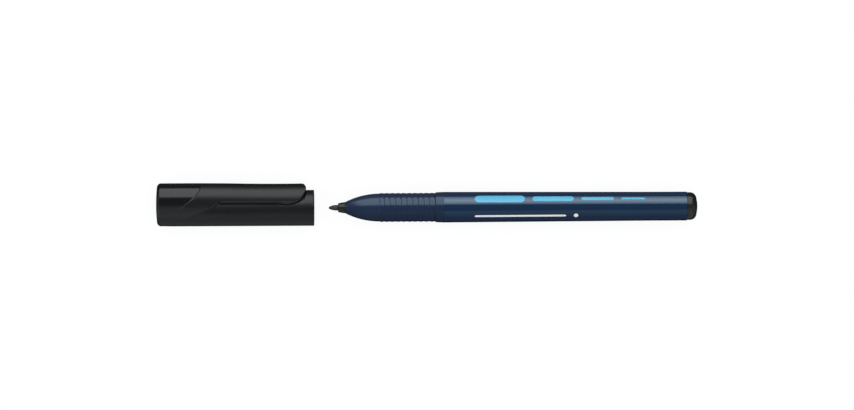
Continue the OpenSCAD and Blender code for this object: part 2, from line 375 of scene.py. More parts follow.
def enclosed_volume(mesh: bpy.types.Mesh) -> float:
    """Measures the volume in a closed mesh.

    It is the sum of the signed volumes between the origin and each triangle, a sixth
    of one corner times the cross product of the other two.

    Args:
        mesh: The mesh.

    Returns:
        The volume, below 0 where the faces point inwards.
    """
    mesh.calc_loop_triangles()
    corner = np.zeros(len(mesh.loop_triangles) * 3, np.int32)
    mesh.loop_triangles.foreach_get("vertices", corner)
    place = np.zeros(len(mesh.vertices) * 3)
    mesh.vertices.foreach_get("co", place)
    a, b, c = place.reshape(-1, 3)[corner].reshape(-1, 3, 3).transpose(1, 0, 2)
    return float((a * np.cross(b, c)).sum() / 6)


def make_piece(
    name: str,
    surface: Surface,
    materials: Sequence[bpy.types.Material],
    finish_of_face: Optional[Array] = None,
    painted_light: Optional[Array] = None,
    crease: float = CREASE,
) -> bpy.types.Object:
    """Puts a closed surface into the scene with its faces outwards.

    Args:
        name: The piece's name.
        surface: Points from the shoulder, and faces.
        materials: The piece's materials.
        finish_of_face: The material number of each face, where there are several.
        painted_light: How much painted highlight and sheen each point gets, from 0 to 1.
        crease: Edges that turn by more degrees than this are sharp.

    Returns:
        The new object.
    """
    points, faces = surface
    mesh = bpy.data.meshes.new(name)
    mesh.from_pydata(DATUM.metres(points).tolist(), [], faces)
    if enclosed_volume(mesh) < 0:
        mesh.flip_normals()
    for material in materials:
        mesh.materials.append(material)
    mesh.polygons.foreach_set("use_smooth", np.ones(len(faces), bool))
    if finish_of_face is not None:
        mesh.polygons.foreach_set("material_index", finish_of_face.astype(np.int32))
    # Stores the amount of painted highlight and sheen at each point
    if painted_light is not None:
        glint_layer = mesh.attributes.new(GLINT_ATTRIBUTE, "FLOAT", "POINT")
        glint_layer.data.foreach_set("value", painted_light.astype(np.float32))
    mesh.set_sharp_from_angle(angle=math.radians(crease))
    mesh.update()
    piece = bpy.data.objects.new(name, mesh)
    bpy.context.scene.collection.objects.link(piece)
    return piece


def stand_for(piece: bpy.types.Object, role: Role) -> None:
    """Lets a piece stand for its CAD node and ride on its body.

    Args:
        piece: The new piece.
        role: What it is in the frame.
    """
    if role.body is not None:
        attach(piece, role.body.value)
    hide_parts(role.node)


class Sock:
    """A shader socket on which Python's operators add Math nodes."""

    def __init__(self, kit: "NodeKit", socket: bpy.types.NodeSocket) -> None:
        self.kit = kit
        self.socket = socket

    def math(self, operation: str, *others: "Value") -> "Sock":
        """Adds a Math node on this socket and others."""
        inputs = dict(enumerate((self, *others)))
        return self.kit.node("ShaderNodeMath", {"operation": operation}, inputs)

    def __add__(self, other: "Value") -> "Sock":
        """Adds."""
        return self.math("ADD", other)

    __radd__ = __add__

    def __mul__(self, other: "Value") -> "Sock":
        """Multiplies."""
        return self.math("MULTIPLY", other)

    __rmul__ = __mul__

    def __sub__(self, other: "Value") -> "Sock":
        """Takes away."""
        return self.math("SUBTRACT", other)

    def __rsub__(self, other: "Value") -> "Sock":
        """Takes this socket away from a number."""
        return self.kit.node("ShaderNodeMath", {"operation": "SUBTRACT"}, {0: other, 1: self})

    def __truediv__(self, other: "Value") -> "Sock":
        """Divides."""
        return self.math("DIVIDE", other)

    def between(self, low: float, high: float) -> "Sock":
        """Rises smoothly from 0 where the socket is low to 1 where it is high.

        Args:
            low: The socket's value at 0.
            high: The socket's value at 1.

        Returns:
            The share.
        """
        settings = {"interpolation_type": "SMOOTHSTEP", "clamp": True}
        inputs = {"Value": self, "From Min": low, "From Max": high}
        return self.kit.node("ShaderNodeMapRange", settings, inputs)


Value = Union[Sock, float, int, Colour, tuple[float, float, float, float]]
Settings = dict[str, object]
Inputs = dict[Union[str, int], Value]


class NodeKit:
    """Adds the nodes of one material, or of the room.

    Attributes:
        broad: The broad patches' share of a colour's mottle, the rest being grain.
        detail: How finely the noise of a texture is broken up.
    """

    broad: float = 0.7
    detail: float = 3.0

    def __init__(self, owner: Union[bpy.types.Material, bpy.types.World]) -> None:
        """Starts with no nodes.

        Args:
            owner: The material or world that the nodes are for.
        """
        owner.use_nodes = True
        self.owner = owner
        self.tree = owner.node_tree
        self.tree.nodes.clear()

    def add(self, kind: str, settings: Settings, inputs: Inputs) -> bpy.types.Node:
        """Adds one node.

        Args:
            kind: The node's type.
            settings: Its own settings, which are set first.
            inputs: Values or links for its sockets, by name or number.

        Returns:
            The node.
        """
        made = self.tree.nodes.new(kind)
        for key, value in settings.items():
            setattr(made, key, value)
        for key, value in inputs.items():
            if isinstance(value, Sock):
                self.tree.links.new(value.socket, made.inputs[key])
            else:
                made.inputs[key].default_value = value
        return made

    def node(
        self, kind: str, settings: Settings, inputs: Inputs, output: Union[str, int] = 0
    ) -> Sock:
        """Adds one node, and gives its output of that name or number."""
        return Sock(self, self.add(kind, settings, inputs).outputs[output])

    def place(self, scale: float = 1.0) -> Sock:
        """Reads the place on the piece, from the shoulder.

        Args:
            scale: What x is multiplied by, below 1 to draw a pattern out along it.

        Returns:
            The place, in metres.
        """
        coordinate = self.node("ShaderNodeTexCoord", {}, {}, "Object")
        moved = self.vector("ADD", coordinate, (-DATUM.x, -DATUM.y, -DATUM.z))
        return self.vector("MULTIPLY", moved, (scale, 1.0, 1.0))

    def vector(self, operation: str, first: Value, other: Value, output: int = 0) -> Sock:
        """Adds a Vector Math node."""
        inputs = {0: first, 1: other}
        return self.node("ShaderNodeVectorMath", {"operation": operation}, inputs, output)

    def noise(self, place: Sock, size: float, detail: float = 2.0) -> Sock:
        """Adds noise whose lumps are size millimetres across, about one half."""
        inputs = {"Vector": place, "Scale": 1 / (size * MM), "Detail": detail}
        return self.node("ShaderNodeTexNoise", {}, inputs)

    def cells(self, place: Sock, size: float) -> Sock:
        """Adds the distance to scattered points that are size millimetres apart."""
        inputs = {"Vector": place, "Scale": 1 / (size * MM)}
        return self.node("ShaderNodeTexVoronoi", {}, inputs)

    def mix(self, share: Value, first: Value, last: Value) -> Sock:
        """Mixes two colours."""
        inputs = {0: share, 6: rgba(first), 7: rgba(last)}
        return self.node("ShaderNodeMix", {"data_type": "RGBA"}, inputs, 2)

    def grain(self, size: float, cell: float, share: float) -> Sock:
        """Makes a texture about one half, a share of it noise and the rest cells."""
        noise = self.noise(self.place(), size, self.detail)
        return noise * share + self.cells(self.place(), cell) * (1 - share)

    def mottled(self, colour: Colour, change: float, patch: float, grain: Sock) -> Sock:
        """Makes a colour lighter and darker in patches and with the grain.

        Args:
            colour: The colour.
            change: How much lighter and darker it gets.
            patch: Size of the patches.
            grain: The texture.

        Returns:
            The changed colour.
        """
        patches = self.noise(self.place(), patch, self.detail)
        share = patches * self.broad + grain * (1 - self.broad)
        return self.mix(share, scaled(colour, 1 - change), scaled(colour, 1 + change))

    def bump(self, height: Sock, depth: float) -> Sock:
        """Turns a height from 0 to 1 into a normal, depth millimetres deep."""
        inputs = {"Height": height, "Distance": depth * MM, "Strength": 1.0}
        return self.node("ShaderNodeBump", {}, inputs)

    def surface(self, inputs: dict[str, Value]) -> bpy.types.Material:
        """Ends the material in a Principled shader.

        Args:
            inputs: The shader's sockets.

        Returns:
            The finished material.
        """
        shader = self.node("ShaderNodeBsdfPrincipled", {}, inputs)
        self.add("ShaderNodeOutputMaterial", {}, {"Surface": shader})
        return self.owner


def rgba(colour: Value) -> Value:
    """Gives a plain colour its alpha, and leaves a socket as it is."""
    return colour if isinstance(colour, Sock) else (*colour, 1.0)


def scaled(colour: Colour, factor: float) -> Colour:
    """Makes a colour lighter or darker."""
    return tuple(channel * factor for channel in colour)


def speckled(level: Value, grain: Sock, speckle: float) -> Sock:
    """Breaks a level up with a texture, by half of speckle either way."""
    return level * (1 - speckle / 2 + speckle * grain)


class Finish(Protocol):
    """A finish that a piece can be given."""

    def material(self) -> bpy.types.Material:
        """Makes the finish's material."""


@dataclass(frozen=True)
class MouldedPlastic:
    """A moulded plastic, from polished to spark eroded.

    Attributes:
        name: The material's name.
        colour: Its colour, in linear light.
        roughness: How dull its shine is.
        grain: Size of its texture.
        depth: Depth of its texture.
        flow: How much faint flow lines along the piece change its shine.
        mottle: How much its colour changes over the piece.
        gloss: Strength of its shine, where 0.5 is that of common plastic.
        tint: Colour of its shine.
        glint: The lighter colour of its painted highlights and painted sheen, if it has any.
        speckle: How much the texture breaks up the painted highlight.
        cell: Size of the texture's cells over that of its grain.
        noise: The noise's share of the texture, the rest being cells.
        patch: Size of the patches in which its colour changes.
        line: Thickness of a flow line.
        drawn: Scale along the piece that draws the flow lines out.
        scatter: How much the texture changes its shine.
    """

    name: str
    colour: Colour
    roughness: float
    grain: float = 0.3
    depth: float = 0.002
    flow: float = 0.05
    mottle: float = 0.15
    gloss: float = 0.5
    tint: Colour = WHITE
    glint: Optional[Colour] = None
    speckle: float = 0.6
    cell: float = 1.7
    noise: float = 0.6
    patch: float = 7.0
    line: float = 0.35
    drawn: float = 0.02
    scatter: float = 0.06

    def grains(self, kit: NodeKit) -> Sock:
        """Makes the texture of small cells and noise, about one half."""
        return kit.grain(self.grain, self.grain * self.cell, self.noise)

    def shade(self, kit: NodeKit, grain: Sock) -> Sock:
        """Makes the colour, mottled, and lighter where the piece's layer lays painted highlight on
        it.

        Args:
            kit: The material's nodes.
            grain: The texture.

        Returns:
            The colour.
        """
        shade = kit.mottled(self.colour, self.mottle, self.patch, grain)
        if self.glint is None:
            return shade
        # Painted highlight: the colour is lighter where the layer says, standing in for light on
        # edges and sheen on the tube
        painted_light = kit.node("ShaderNodeAttribute", {"attribute_name": GLINT_ATTRIBUTE}, {}, "Fac")
        return kit.mix(speckled(painted_light, grain, self.speckle), shade, self.glint)

    def dullness(self, kit: NodeKit, grain: Sock) -> Sock:
        """Makes the roughness: noise drawn out along the piece gives its flow lines."""
        lines = kit.noise(kit.place(self.drawn), self.line)
        return speckled(self.roughness, lines, self.flow) + (grain - 0.5) * self.scatter

    def material(self) -> bpy.types.Material:
        """Makes the material of its texture, colour and shine.

        Returns:
            The material.
        """
        kit = NodeKit(bpy.data.materials.new(self.name))
        grain = self.grains(kit)
        return kit.surface({
            "Base Color": self.shade(kit, grain),
            "Roughness": self.dullness(kit, grain),
            "Specular IOR Level": self.gloss,
            "Specular Tint": rgba(self.tint),
            "Normal": kit.bump(grain, self.depth),
        })


@dataclass(frozen=True)
class RibbedGrip(MouldedPlastic):
    """The grip's plastic: satin in the grooves, a little polished where fingers handle it most.

    Attributes:
        polish: How much less dull the outermost skin is.
        rubbed_radius: Distance from the axis from which the skin is rubbed.
        rub_and_glint_fade: Distance over which the polish sets in.
    """

    polish: float = 0.05
    rubbed_radius: float = 4.86
    rub_and_glint_fade: float = 0.08

    def dullness(self, kit: NodeKit, grain: Sock) -> Sock:
        """Makes the roughness, with the polish read from the distance to the axis.

        Args:
            kit: The material's nodes.
            grain: The texture.

        Returns:
            The roughness.
        """
        across = kit.vector("MULTIPLY", kit.place(), (0.0, 1.0, 1.0))
        reach = kit.vector("LENGTH", across, (0.0, 0.0, 0.0), 1) / MM
        rubbed = reach.between(self.rubbed_radius - self.rub_and_glint_fade, self.rubbed_radius)
        return self.roughness - rubbed * self.polish + (grain - 0.5) * self.scatter


@dataclass(frozen=True)
class FlankAndBelly:
    """A moulded skin with one finish on its upper flank, another below and a painted sheen on its
    belly.

    Attributes:
        name: The material's name.
        flank: The finish above.
        belly: The finish below.
        fade: Heights above the axis between which one gives way to the other.
        pale: The belly's colour where its painted sheen is palest.
        sheen_top: Heights between which the belly grows pale with painted sheen.
        sheen_low: Heights between which it grows dark again.
        speckle: How much the texture breaks up the painted sheen.
    """

    name: str
    flank: MouldedPlastic
    belly: MouldedPlastic
    fade: tuple[float, float]
    pale: Colour
    sheen_top: tuple[float, float] = (-0.9, 1.0)
    sheen_low: tuple[float, float] = (-5.4, -1.3)
    speckle: float = 0.3

    def material(self) -> bpy.types.Material:
        """Makes the material: smooth steps in height mix colours, shine and texture.

        Returns:
            The material.
        """
        kit = NodeKit(bpy.data.materials.new(self.name))
        height = kit.node("ShaderNodeSeparateXYZ", {}, {0: kit.place()}, "Y") / MM
        above = height.between(*self.fade)
        # Painted sheen: the belly is painted paler between two heights
        pale = (1 - height.between(*self.sheen_top)) * height.between(*self.sheen_low)
        fine, coarse = self.flank.grains(kit), self.belly.grains(kit)
        relief = coarse * self.belly.depth * (1 - above) + fine * self.flank.depth * above
        shade = kit.mix(above, self.belly.shade(kit, coarse), self.flank.shade(kit, fine))
        dull, bright = self.belly.dullness(kit, coarse), self.flank.dullness(kit, fine)
        return kit.surface({
            "Base Color": kit.mix(speckled(pale, coarse, self.speckle), shade, self.pale),
            "Roughness": mixed(dull, bright, above),
            "Normal": kit.bump(relief, 1.0),
        })


@dataclass(frozen=True)
class PressedFibre:
    """A rod of pressed fibres that ink has soaked.

    Attributes:
        name: The material's name.
        dry: Colour of the fibres that stand proud.
        soaked: Colour between them.
        fibre: Thickness of a fibre.
        drawn: Scale along the rod that draws the fibres out.
        strand_levels: Noise between which a gap gives way to a fibre.
        patch: Size of the patches that took less ink.
        patch_levels: Noise between which they set in.
        patch_share: The patches' share of the colour, the rest being fibres.
        roughness: How dull the soaked gaps are.
        polish: How much less dull the fibres are.
        depth: How far the fibres stand proud.
    """

    name: str
    dry: Colour
    soaked: Colour
    fibre: float
    drawn: float = 0.06
    strand_levels: tuple[float, float] = (0.32, 0.68)
    patch: float = 1.1
    patch_levels: tuple[float, float] = (0.3, 0.75)
    patch_share: float = 0.25
    roughness: float = 0.75
    polish: float = 0.2
    depth: float = 0.02

    def material(self) -> bpy.types.Material:
        """Makes the material: noise drawn out along the rod is its fibres.

        Returns:
            The material.
        """
        kit = NodeKit(bpy.data.materials.new(self.name))
        strands = kit.noise(kit.place(self.drawn), self.fibre, kit.detail)
        strands = strands.between(*self.strand_levels)
        patches = kit.noise(kit.place(), self.patch, kit.detail).between(*self.patch_levels)
        dry = strands * (1 - self.patch_share) + patches * self.patch_share
        return kit.surface({
            "Base Color": kit.mix(dry, self.soaked, self.dry),
            "Roughness": self.roughness - strands * self.polish,
            "Normal": kit.bump(strands, self.depth),
        })


@dataclass(frozen=True)
class PrintInk:
    """A thin screen-printed ink with a faint mesh and pinholes.

    Attributes:
        name: The material's name.
        colour: Its colour, in linear light.
        under: Colour that shows through the pinholes.
        spot: Size of the mesh's spots.
        hole_levels: Noise between which a pinhole gives way to ink.
        patch: Size of the patches where the ink is thin.
        thin: How much darker it is there.
        roughness: How dull its shine is.
        scatter: How much the spots change its shine.
        depth: Depth of the spots.
    """

    name: str
    colour: Colour
    under: Colour
    spot: float = 0.16
    hole_levels: tuple[float, float] = (0.22, 0.34)
    patch: float = 2.5
    thin: float = 0.07
    roughness: float = 0.42
    scatter: float = 0.2
    depth: float = 0.001

    def material(self) -> bpy.types.Material:
        """Makes the material: rare deep spots of a fine noise are the pinholes.

        Returns:
            The material.
        """
        kit = NodeKit(bpy.data.materials.new(self.name))
        place = kit.place()
        spots = kit.noise(place, self.spot, 1.0)
        thin = scaled(self.colour, 1 - self.thin)
        shade = kit.mix(kit.noise(place, self.patch), thin, self.colour)
        return kit.surface({
            "Base Color": kit.mix(spots.between(*self.hole_levels), self.under, shade),
            "Roughness": self.roughness + (spots - 0.5) * self.scatter,
            "Coat Weight": 0.6,
            "Coat Roughness": 0.1,
            "Normal": kit.bump(spots, self.depth),
        })


NAVY_SHINE: Colour = (0.68, 0.86, 0.95)
# Colour of the painted highlights on edges and the painted sheen on the tube
BLACK_GLINT: Colour = (0.019, 0.0192, 0.0197)
# Colour of the painted sheen on the cap's belly
BLACK_SHEEN: Colour = (0.0146, 0.0148, 0.0154)
NAVY_GLOSS = MouldedPlastic(
    "barrel_navy_gloss", (0.0092, 0.0252, 0.0592), roughness=0.1, grain=0.6, depth=0.0004,
    flow=0.12, mottle=0.06, gloss=0.66, tint=NAVY_SHINE,
)
NAVY_SATIN = RibbedGrip(
    "grip_navy_satin", (0.0121, 0.0233, 0.0523), roughness=0.24, grain=0.22, depth=0.0008,
    gloss=0.72, tint=NAVY_SHINE, cell=0.35 / 0.22, noise=0.5, patch=5.0, scatter=0.05,
)
BLACK_POLISHED = MouldedPlastic(
    "crown_polish", (0.0082, 0.0084, 0.009), roughness=0.16, grain=0.5, depth=0.0005,
    flow=0.2, mottle=0.1,
)
BLACK_MATTE = MouldedPlastic(
    "cap_matte_black", (0.0067, 0.0069, 0.0074), roughness=0.37, grain=0.24, depth=0.003,
    # Its glint colour paints the highlights on edges and the sheen on the tube
    flow=0.06, mottle=0.2, glint=BLACK_GLINT,
)
# The crown's and band's bellies carry a painted sheen
BLACK_CROWN = FlankAndBelly(
    "crown_polished_black", BLACK_POLISHED, BLACK_MATTE, fade=(0.7, 1.4), pale=BLACK_SHEEN
)
BLACK_BAND = FlankAndBelly(
    "band_matte_black", BLACK_MATTE, BLACK_MATTE, fade=(0.0, 1.0), pale=BLACK_SHEEN
)
BLACK_SATIN = MouldedPlastic(
    "plug_satin_black", (0.016, 0.0158, 0.0158), roughness=0.2, grain=0.3, depth=0.001
)
BLACK_HOLDER = MouldedPlastic(
    "holder_black", (0.0138, 0.0136, 0.0132), roughness=0.26, grain=0.2, depth=0.002
)
SEAL_WHITE = MouldedPlastic(
    "seal_natural_white", (0.7, 0.7, 0.66), roughness=0.45, grain=0.4, depth=0.002
)
FILM = MouldedPlastic(
    "core_film_clear", (0.68, 0.7, 0.7), roughness=0.3, grain=0.8, depth=0.004
)
NIB_FIBRE = PressedFibre(
    "nib_fibre_inked", dry=(0.064, 0.052, 0.037), soaked=(0.014, 0.0127, 0.0115), fibre=0.07
)
CORE_FIBRE = PressedFibre(
    "core_fibre_inked", dry=(0.03, 0.03, 0.033), soaked=(0.008, 0.008, 0.009), fibre=0.12
)
INK_BLUE = PrintInk("print_light_blue", (0.18, 0.67, 0.95), under=(0.02, 0.06, 0.14))
INK_WHITE = PrintInk("print_white", (0.94, 0.95, 0.96), under=(0.05, 0.07, 0.1))


class SubAssembly(Protocol):
    """A part of the marker that builds its own pieces."""

    def build(self) -> list[bpy.types.Object]:
        """Builds and dresses the pieces, and gives them back."""


class TurnedPiece(ABC):
    """A piece that is turned about the marker's axis in place of a CAD node.

    Attributes:
        role: What the piece is in the frame.
        finish: Its finish.
        ends: How its outline closes.
        columns: Points in each ring.
        crease: Edges that turn by more degrees than this are sharp.
    """

    role: ClassVar[Role]
    finish: ClassVar[Finish]
    ends: ClassVar[Ends] = Ends.JOINED
    columns: int
    crease: float = CREASE

    @abstractmethod
    def outline(self) -> Array:
        """Draws the section that is turned, as points (x, radius)."""

    def grid(self) -> Array:
        """Turns the outline about the axis."""
        return turned(self.outline(), self.columns)

    def build(self) -> list[bpy.types.Object]:
        """Makes the piece of its grid, dresses it and lets it stand for its node.

        Returns:
            The piece.
        """
        surface = closed_surface(self.grid(), self.ends)
        materials = [self.finish.material()]
        piece = make_piece(self.role.name, surface, materials, crease=self.crease)
        stand_for(piece, self.role)
        return [piece]


@dataclass
class Barrel(TurnedPiece):
    """The tube: a slow taper, then a straight tail, with a bore for the ink core."""

    role = Role("barrel_tube", "barrel", "barrel_navy")
    finish = NAVY_GLOSS
    tail_from: float = 70.2
    tail_radius: float = 4.9
    tail_round: float = 40.0
    bore: float = 4.2
    bore_round: float = 0.1
    edge_round: float = 0.06
    step: float = 2.0
    columns: int = 160

    def __post_init__(self) -> None:
        """Reads the barrel's length and front radius from the frame."""
        self.span = DATUM.span(self.role.node)

    def radius_at(self, x: Array) -> Array:
        """Gives the outer radius: straight from the front to the tail, then level."""
        return np.interp(x, (0.0, self.tail_from), (self.span.radius, self.tail_radius))

    def outline(self) -> Array:
        """Draws the wall: along the taper and the tail, and back along the bore.

        Returns:
            Points (x, radius), once round.
        """
        end = self.span.end
        return divided(round_corners((
            (0.0, self.span.radius, self.edge_round),
            (self.tail_from, self.tail_radius, self.tail_round),
            (end, self.tail_radius, self.edge_round),
            (end, self.bore, self.bore_round),
            (0.0, self.bore, self.bore_round),
        )), self.step)


@dataclass(frozen=True)
class Bar:
    """A printed bar with round ends.

    Attributes:
        start: Where it starts along x.
        length: Its length.
        height: Its height round the barrel.
        turn: Degrees from the top, towards the clip's side.
    """

    start: float
    length: float
    height: float
    turn: float


@dataclass
class BarrelPrint:
    """Plain bars printed along the barrel, thinner one after another."""

    barrel: Barrel
    start: float = 10.5
    gap: float = 2.6
    blue_turn: float = 33.0
    blue_lengths: tuple[float, ...] = (17.0, 14.0, 11.0, 8.0)
    blue_heights: tuple[float, ...] = (2.7, 1.9, 1.2, 0.7)
    white_turn: float = -37.0
    white_length: float = 31.0
    white_height: float = 0.75
    film: float = 0.012
    sunk: float = 0.05
    end_share: float = 0.9999
    end_half: float = 0.001
    rows: int = 64
    columns: int = 13

    def bars(self) -> tuple[list[Bar], list[Bar]]:
        """Lays the bars out.

        Returns:
            The light blue bars and the white ones.
        """
        ends = np.cumsum(np.array(self.blue_lengths) + self.gap)
        starts = self.start + np.concatenate(([0.0], ends[:-1]))
        blue = [
            Bar(float(start), length, height, self.blue_turn)
            for start, length, height in zip(starts, self.blue_lengths, self.blue_heights)
        ]
        dot = self.start + self.white_length + self.gap
        white = [
            Bar(self.start, self.white_length, self.white_height, self.white_turn),
            Bar(dot, 2 * self.white_height, 2 * self.white_height, self.white_turn),
        ]
        return blue, white

    def patch(self, bar: Bar) -> Array:
        """Lays one bar on the barrel.

        At each place along the bar its half height is that of a rectangle with round
        ends, and the points go once round the section: over the ink's outer face, a
        film above the barrel, and back along its inner face, sunk in the barrel.

        Args:
            bar: The bar.

        Returns:
            A grid of sections along the bar.
        """
        half, length = bar.height / 2, bar.length / 2
        share = np.sin(np.linspace(-np.pi / 2, np.pi / 2, self.rows))[:, None]
        along = share * length * self.end_share
        over = np.maximum(np.abs(along) - (length - half), 0)
        reach = np.sqrt(np.maximum(half**2 - over**2, self.end_half**2))
        x = bar.start + length + along
        radius = self.barrel.radius_at(x)
        across = np.linspace(-1, 1, self.columns)[None, :]
        turn = math.radians(90 - bar.turn)
        outer = polar_grid(x, radius + self.film, turn + across * reach / radius)
        inner = polar_grid(x, radius - self.sunk, turn + across[:, ::-1] * reach / radius)
        return np.concatenate((outer, inner), axis=1)

    def build(self) -> list[bpy.types.Object]:
        """Prints the bars, each a thin closed patch.

        Returns:
            The bars.
        """
        pieces = []
        for name, ink, bars in zip(("blue", "white"), (INK_BLUE, INK_WHITE), self.bars()):
            material = ink.material()
            for number, bar in enumerate(bars, 1):
                surface = closed_surface(self.patch(bar), Ends.FLAT)
                pieces.append(make_piece(f"print_{name}_{number}", surface, [material]))
        for piece in pieces:
            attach(piece, Body.PEN.value)
        return pieces


@dataclass
class EndPlug(TurnedPiece):
    """The plug in the barrel's rear: a domed head with a round edge, and a spigot."""

    role = Role("tail_plug", "end_plug", "plug_black")
    finish = BLACK_SATIN
    ends = Ends.POLES
    barrel: Barrel
    radius: float = 4.7
    edge_round: float = 2.2
    dome: float = 0.3
    dome_rows: int = 12
    spigot: float = 4.18
    spigot_round: float = 0.3
    seat_round: float = 0.05
    arc_steps: int = 14
    step: float = 1.2
    columns: int = 128

    def outline(self) -> Array:
        """Draws the spigot and the head, whose dome falls by the square of its radius.

        Returns:
            Points (x, radius), from pole to pole.
        """
        span, seat = DATUM.span(self.role.node), self.barrel.span.end
        face = span.end - self.dome
        flat = self.radius - self.edge_round
        corners = round_corners((
            (span.start, 0.0, 0.0),
            (span.start, self.spigot, self.spigot_round),
            (seat, self.spigot, 0.0),
            (seat, self.radius, self.seat_round),
            (face, self.radius, self.edge_round),
            (face, flat, 0.0),
        ), self.arc_steps)
        share = np.linspace(1, 0, self.dome_rows)[1:, None]
        crown = np.hstack((face + self.dome * (1 - share**2), flat * share))
        return np.concatenate((divided(corners, self.step), crown))


@dataclass
class GripSection(TurnedPiece):
    """The front piece: a collar, a grooved grip, a curved nose and a spigot inside."""

    role = Role("grip_front", "grip_section", "grip_navy")
    finish = NAVY_SATIN
    barrel: Barrel
    collar: float = 3.0
    collar_front: float = 5.075
    collar_round: float = 0.45
    collar_foot: float = 0.2
    shoulder_round: float = 0.06
    grip: float = 4.895
    grip_ends: tuple[float, float] = (0.03, 0.02)
    grip_rows: int = 300
    ribbed: float = 18.8
    grooves: int = 10
    first_groove: float = -3.05
    pitch: float = 1.92
    groove_half: float = 0.38
    groove_depth: float = 0.135
    rib_crown: float = 0.02
    nose_rear: float = 4.745
    nose_front: float = 2.08
    nose_lip: float = 0.05
    nose_lead: float = 0.22
    nose_gap: float = 0.1
    nose_rows: int = 46
    spigot: float = 4.18
    core_room: float = 3.65
    core_stop: float = -15.0
    nib_room: float = 2.4
    shank_bore: float = 1.55
    step: float = 2.0
    columns: int = 144
    crease: float = 44.0

    def outside(self, nose: float) -> Array:
        """Draws the outside from the nose's front to the shoulder.

        The nose is an arc that ends level at the grip. On the grip the radius falls in
        each groove as half a cosine wave, and swells a little between grooves. The
        collar widens straight to the shoulder.

        Args:
            nose: Where the nose's front face is.

        Returns:
            Points (x, radius).
        """
        rear = -self.collar - self.ribbed
        length, fall = rear - nose, self.nose_rear - self.nose_front
        arc = (length**2 + fall**2) / (2 * fall)
        x_nose = np.linspace(nose + self.nose_lip, rear - self.nose_gap, self.nose_rows)
        r_nose = self.nose_rear - arc + np.sqrt(arc**2 - (rear - x_nose) ** 2)
        first, last = rear + self.grip_ends[0], -self.collar - self.grip_ends[1]
        x_grip = np.linspace(first, last, self.grip_rows)
        count = np.clip(np.round((self.first_groove - x_grip) / self.pitch), 0, self.grooves - 1)
        off = np.abs(x_grip - (self.first_groove - count * self.pitch))
        groove = 0.5 + 0.5 * np.cos(np.pi * np.clip(off / self.groove_half, 0, 1))
        swell = np.clip(off / (self.pitch / 2), 0, 1) ** 2
        lead = 1 - smooth_step((x_grip - rear) / self.nose_lead)
        fallen = self.groove_depth * groove + self.rib_crown * (1 - swell)
        r_grip = self.grip - np.maximum(fallen, (self.grip - self.nose_rear) * lead)
        collar = round_corners((
            (-self.collar, self.grip - self.collar_foot, 0.0),
            (-self.collar, self.collar_front, self.collar_round),
            (0.0, self.barrel.span.radius, self.shoulder_round),
            (0.0, self.spigot, 0.0),
        ))
        return np.concatenate((
            np.stack((x_nose, r_nose), axis=1), np.stack((x_grip, r_grip), axis=1), collar
        ))

    def outline(self) -> Array:
        """Draws the wall: along the outside, and back through the rooms for core and nib.

        Returns:
            Points (x, radius), once round.
        """
        span, shank = DATUM.span(self.role.node), DATUM.span("nib_holder")
        inside = np.array((
            (span.end, self.spigot),
            (span.end, self.core_room),
            (self.core_stop, self.core_room),
            (self.core_stop, self.nib_room),
            (shank.end, self.nib_room),
            (shank.end, self.shank_bore),
            (span.start, self.shank_bore),
            (span.start, self.nose_front - self.nose_lip),
        ))
        return np.concatenate((self.outside(span.start), divided(inside, self.step)))


@dataclass
class NibHolder(TurnedPiece):
    """The cone in front of the nose, with small air notches round its base."""

    role = Role("nib_cone", "nib_holder", "holder_black")
    finish = BLACK_HOLDER
    front: float = 1.53
    front_round: float = 0.32
    mouth_round: float = 0.08
    base: float = 2.0
    base_round: float = 0.03
    bore: float = 0.965
    bore_round: float = 0.1
    shank: float = 1.52
    shank_round: float = 0.2
    notches: int = 6
    notch_half: float = 0.2
    notch_reach: float = 0.42
    notch_floor: float = 1.3
    notch_flank: float = 0.08
    notch_end: float = 0.1
    margin: float = 0.01
    step: float = 0.09
    columns: int = 240

    def __post_init__(self) -> None:
        """Reads where the nose's front face is, on which the cone sits."""
        self.nose = DATUM.span("grip_section").start

    def outline(self) -> Array:
        """Draws the cone and the shank, and back along the bore.

        Returns:
            Points (x, radius), once round.
        """
        span = DATUM.span(self.role.node)
        return divided(round_corners((
            (span.start, self.bore, self.mouth_round),
            (span.start, self.front, self.front_round),
            (self.nose, self.base, self.base_round),
            (self.nose, self.shank, 0.0),
            (span.end, self.shank, self.shank_round),
            (span.end, self.bore, self.bore_round),
        )), self.step)

    def grid(self) -> Array:
        """Turns the outline and sinks the notches into the cone's base.

        Within a notch's width and reach the radius drops to the notch's floor, with
        soft flanks.

        Returns:
            The grid.
        """
        grid = super().grid()
        reach = np.linalg.norm(grid[..., 1:], axis=-1)
        angle = np.arctan2(grid[..., 1], grid[..., 2])
        part = 2 * np.pi / self.notches
        off = np.abs((angle % part) - part / 2) * reach
        beside = smooth_step((self.notch_half - off) / self.notch_flank + 0.5)
        behind = grid[..., 0] - self.nose + self.notch_reach
        along = smooth_step(behind / self.notch_end + 0.5)
        sunk = np.maximum(reach - self.notch_floor, 0) * beside * along
        outside = (grid[..., 0] < self.nose + self.margin) & (reach > self.notch_floor)
        grid[..., 1:] *= np.where(outside, 1 - sunk / reach, 1.0)[..., None]
        return grid


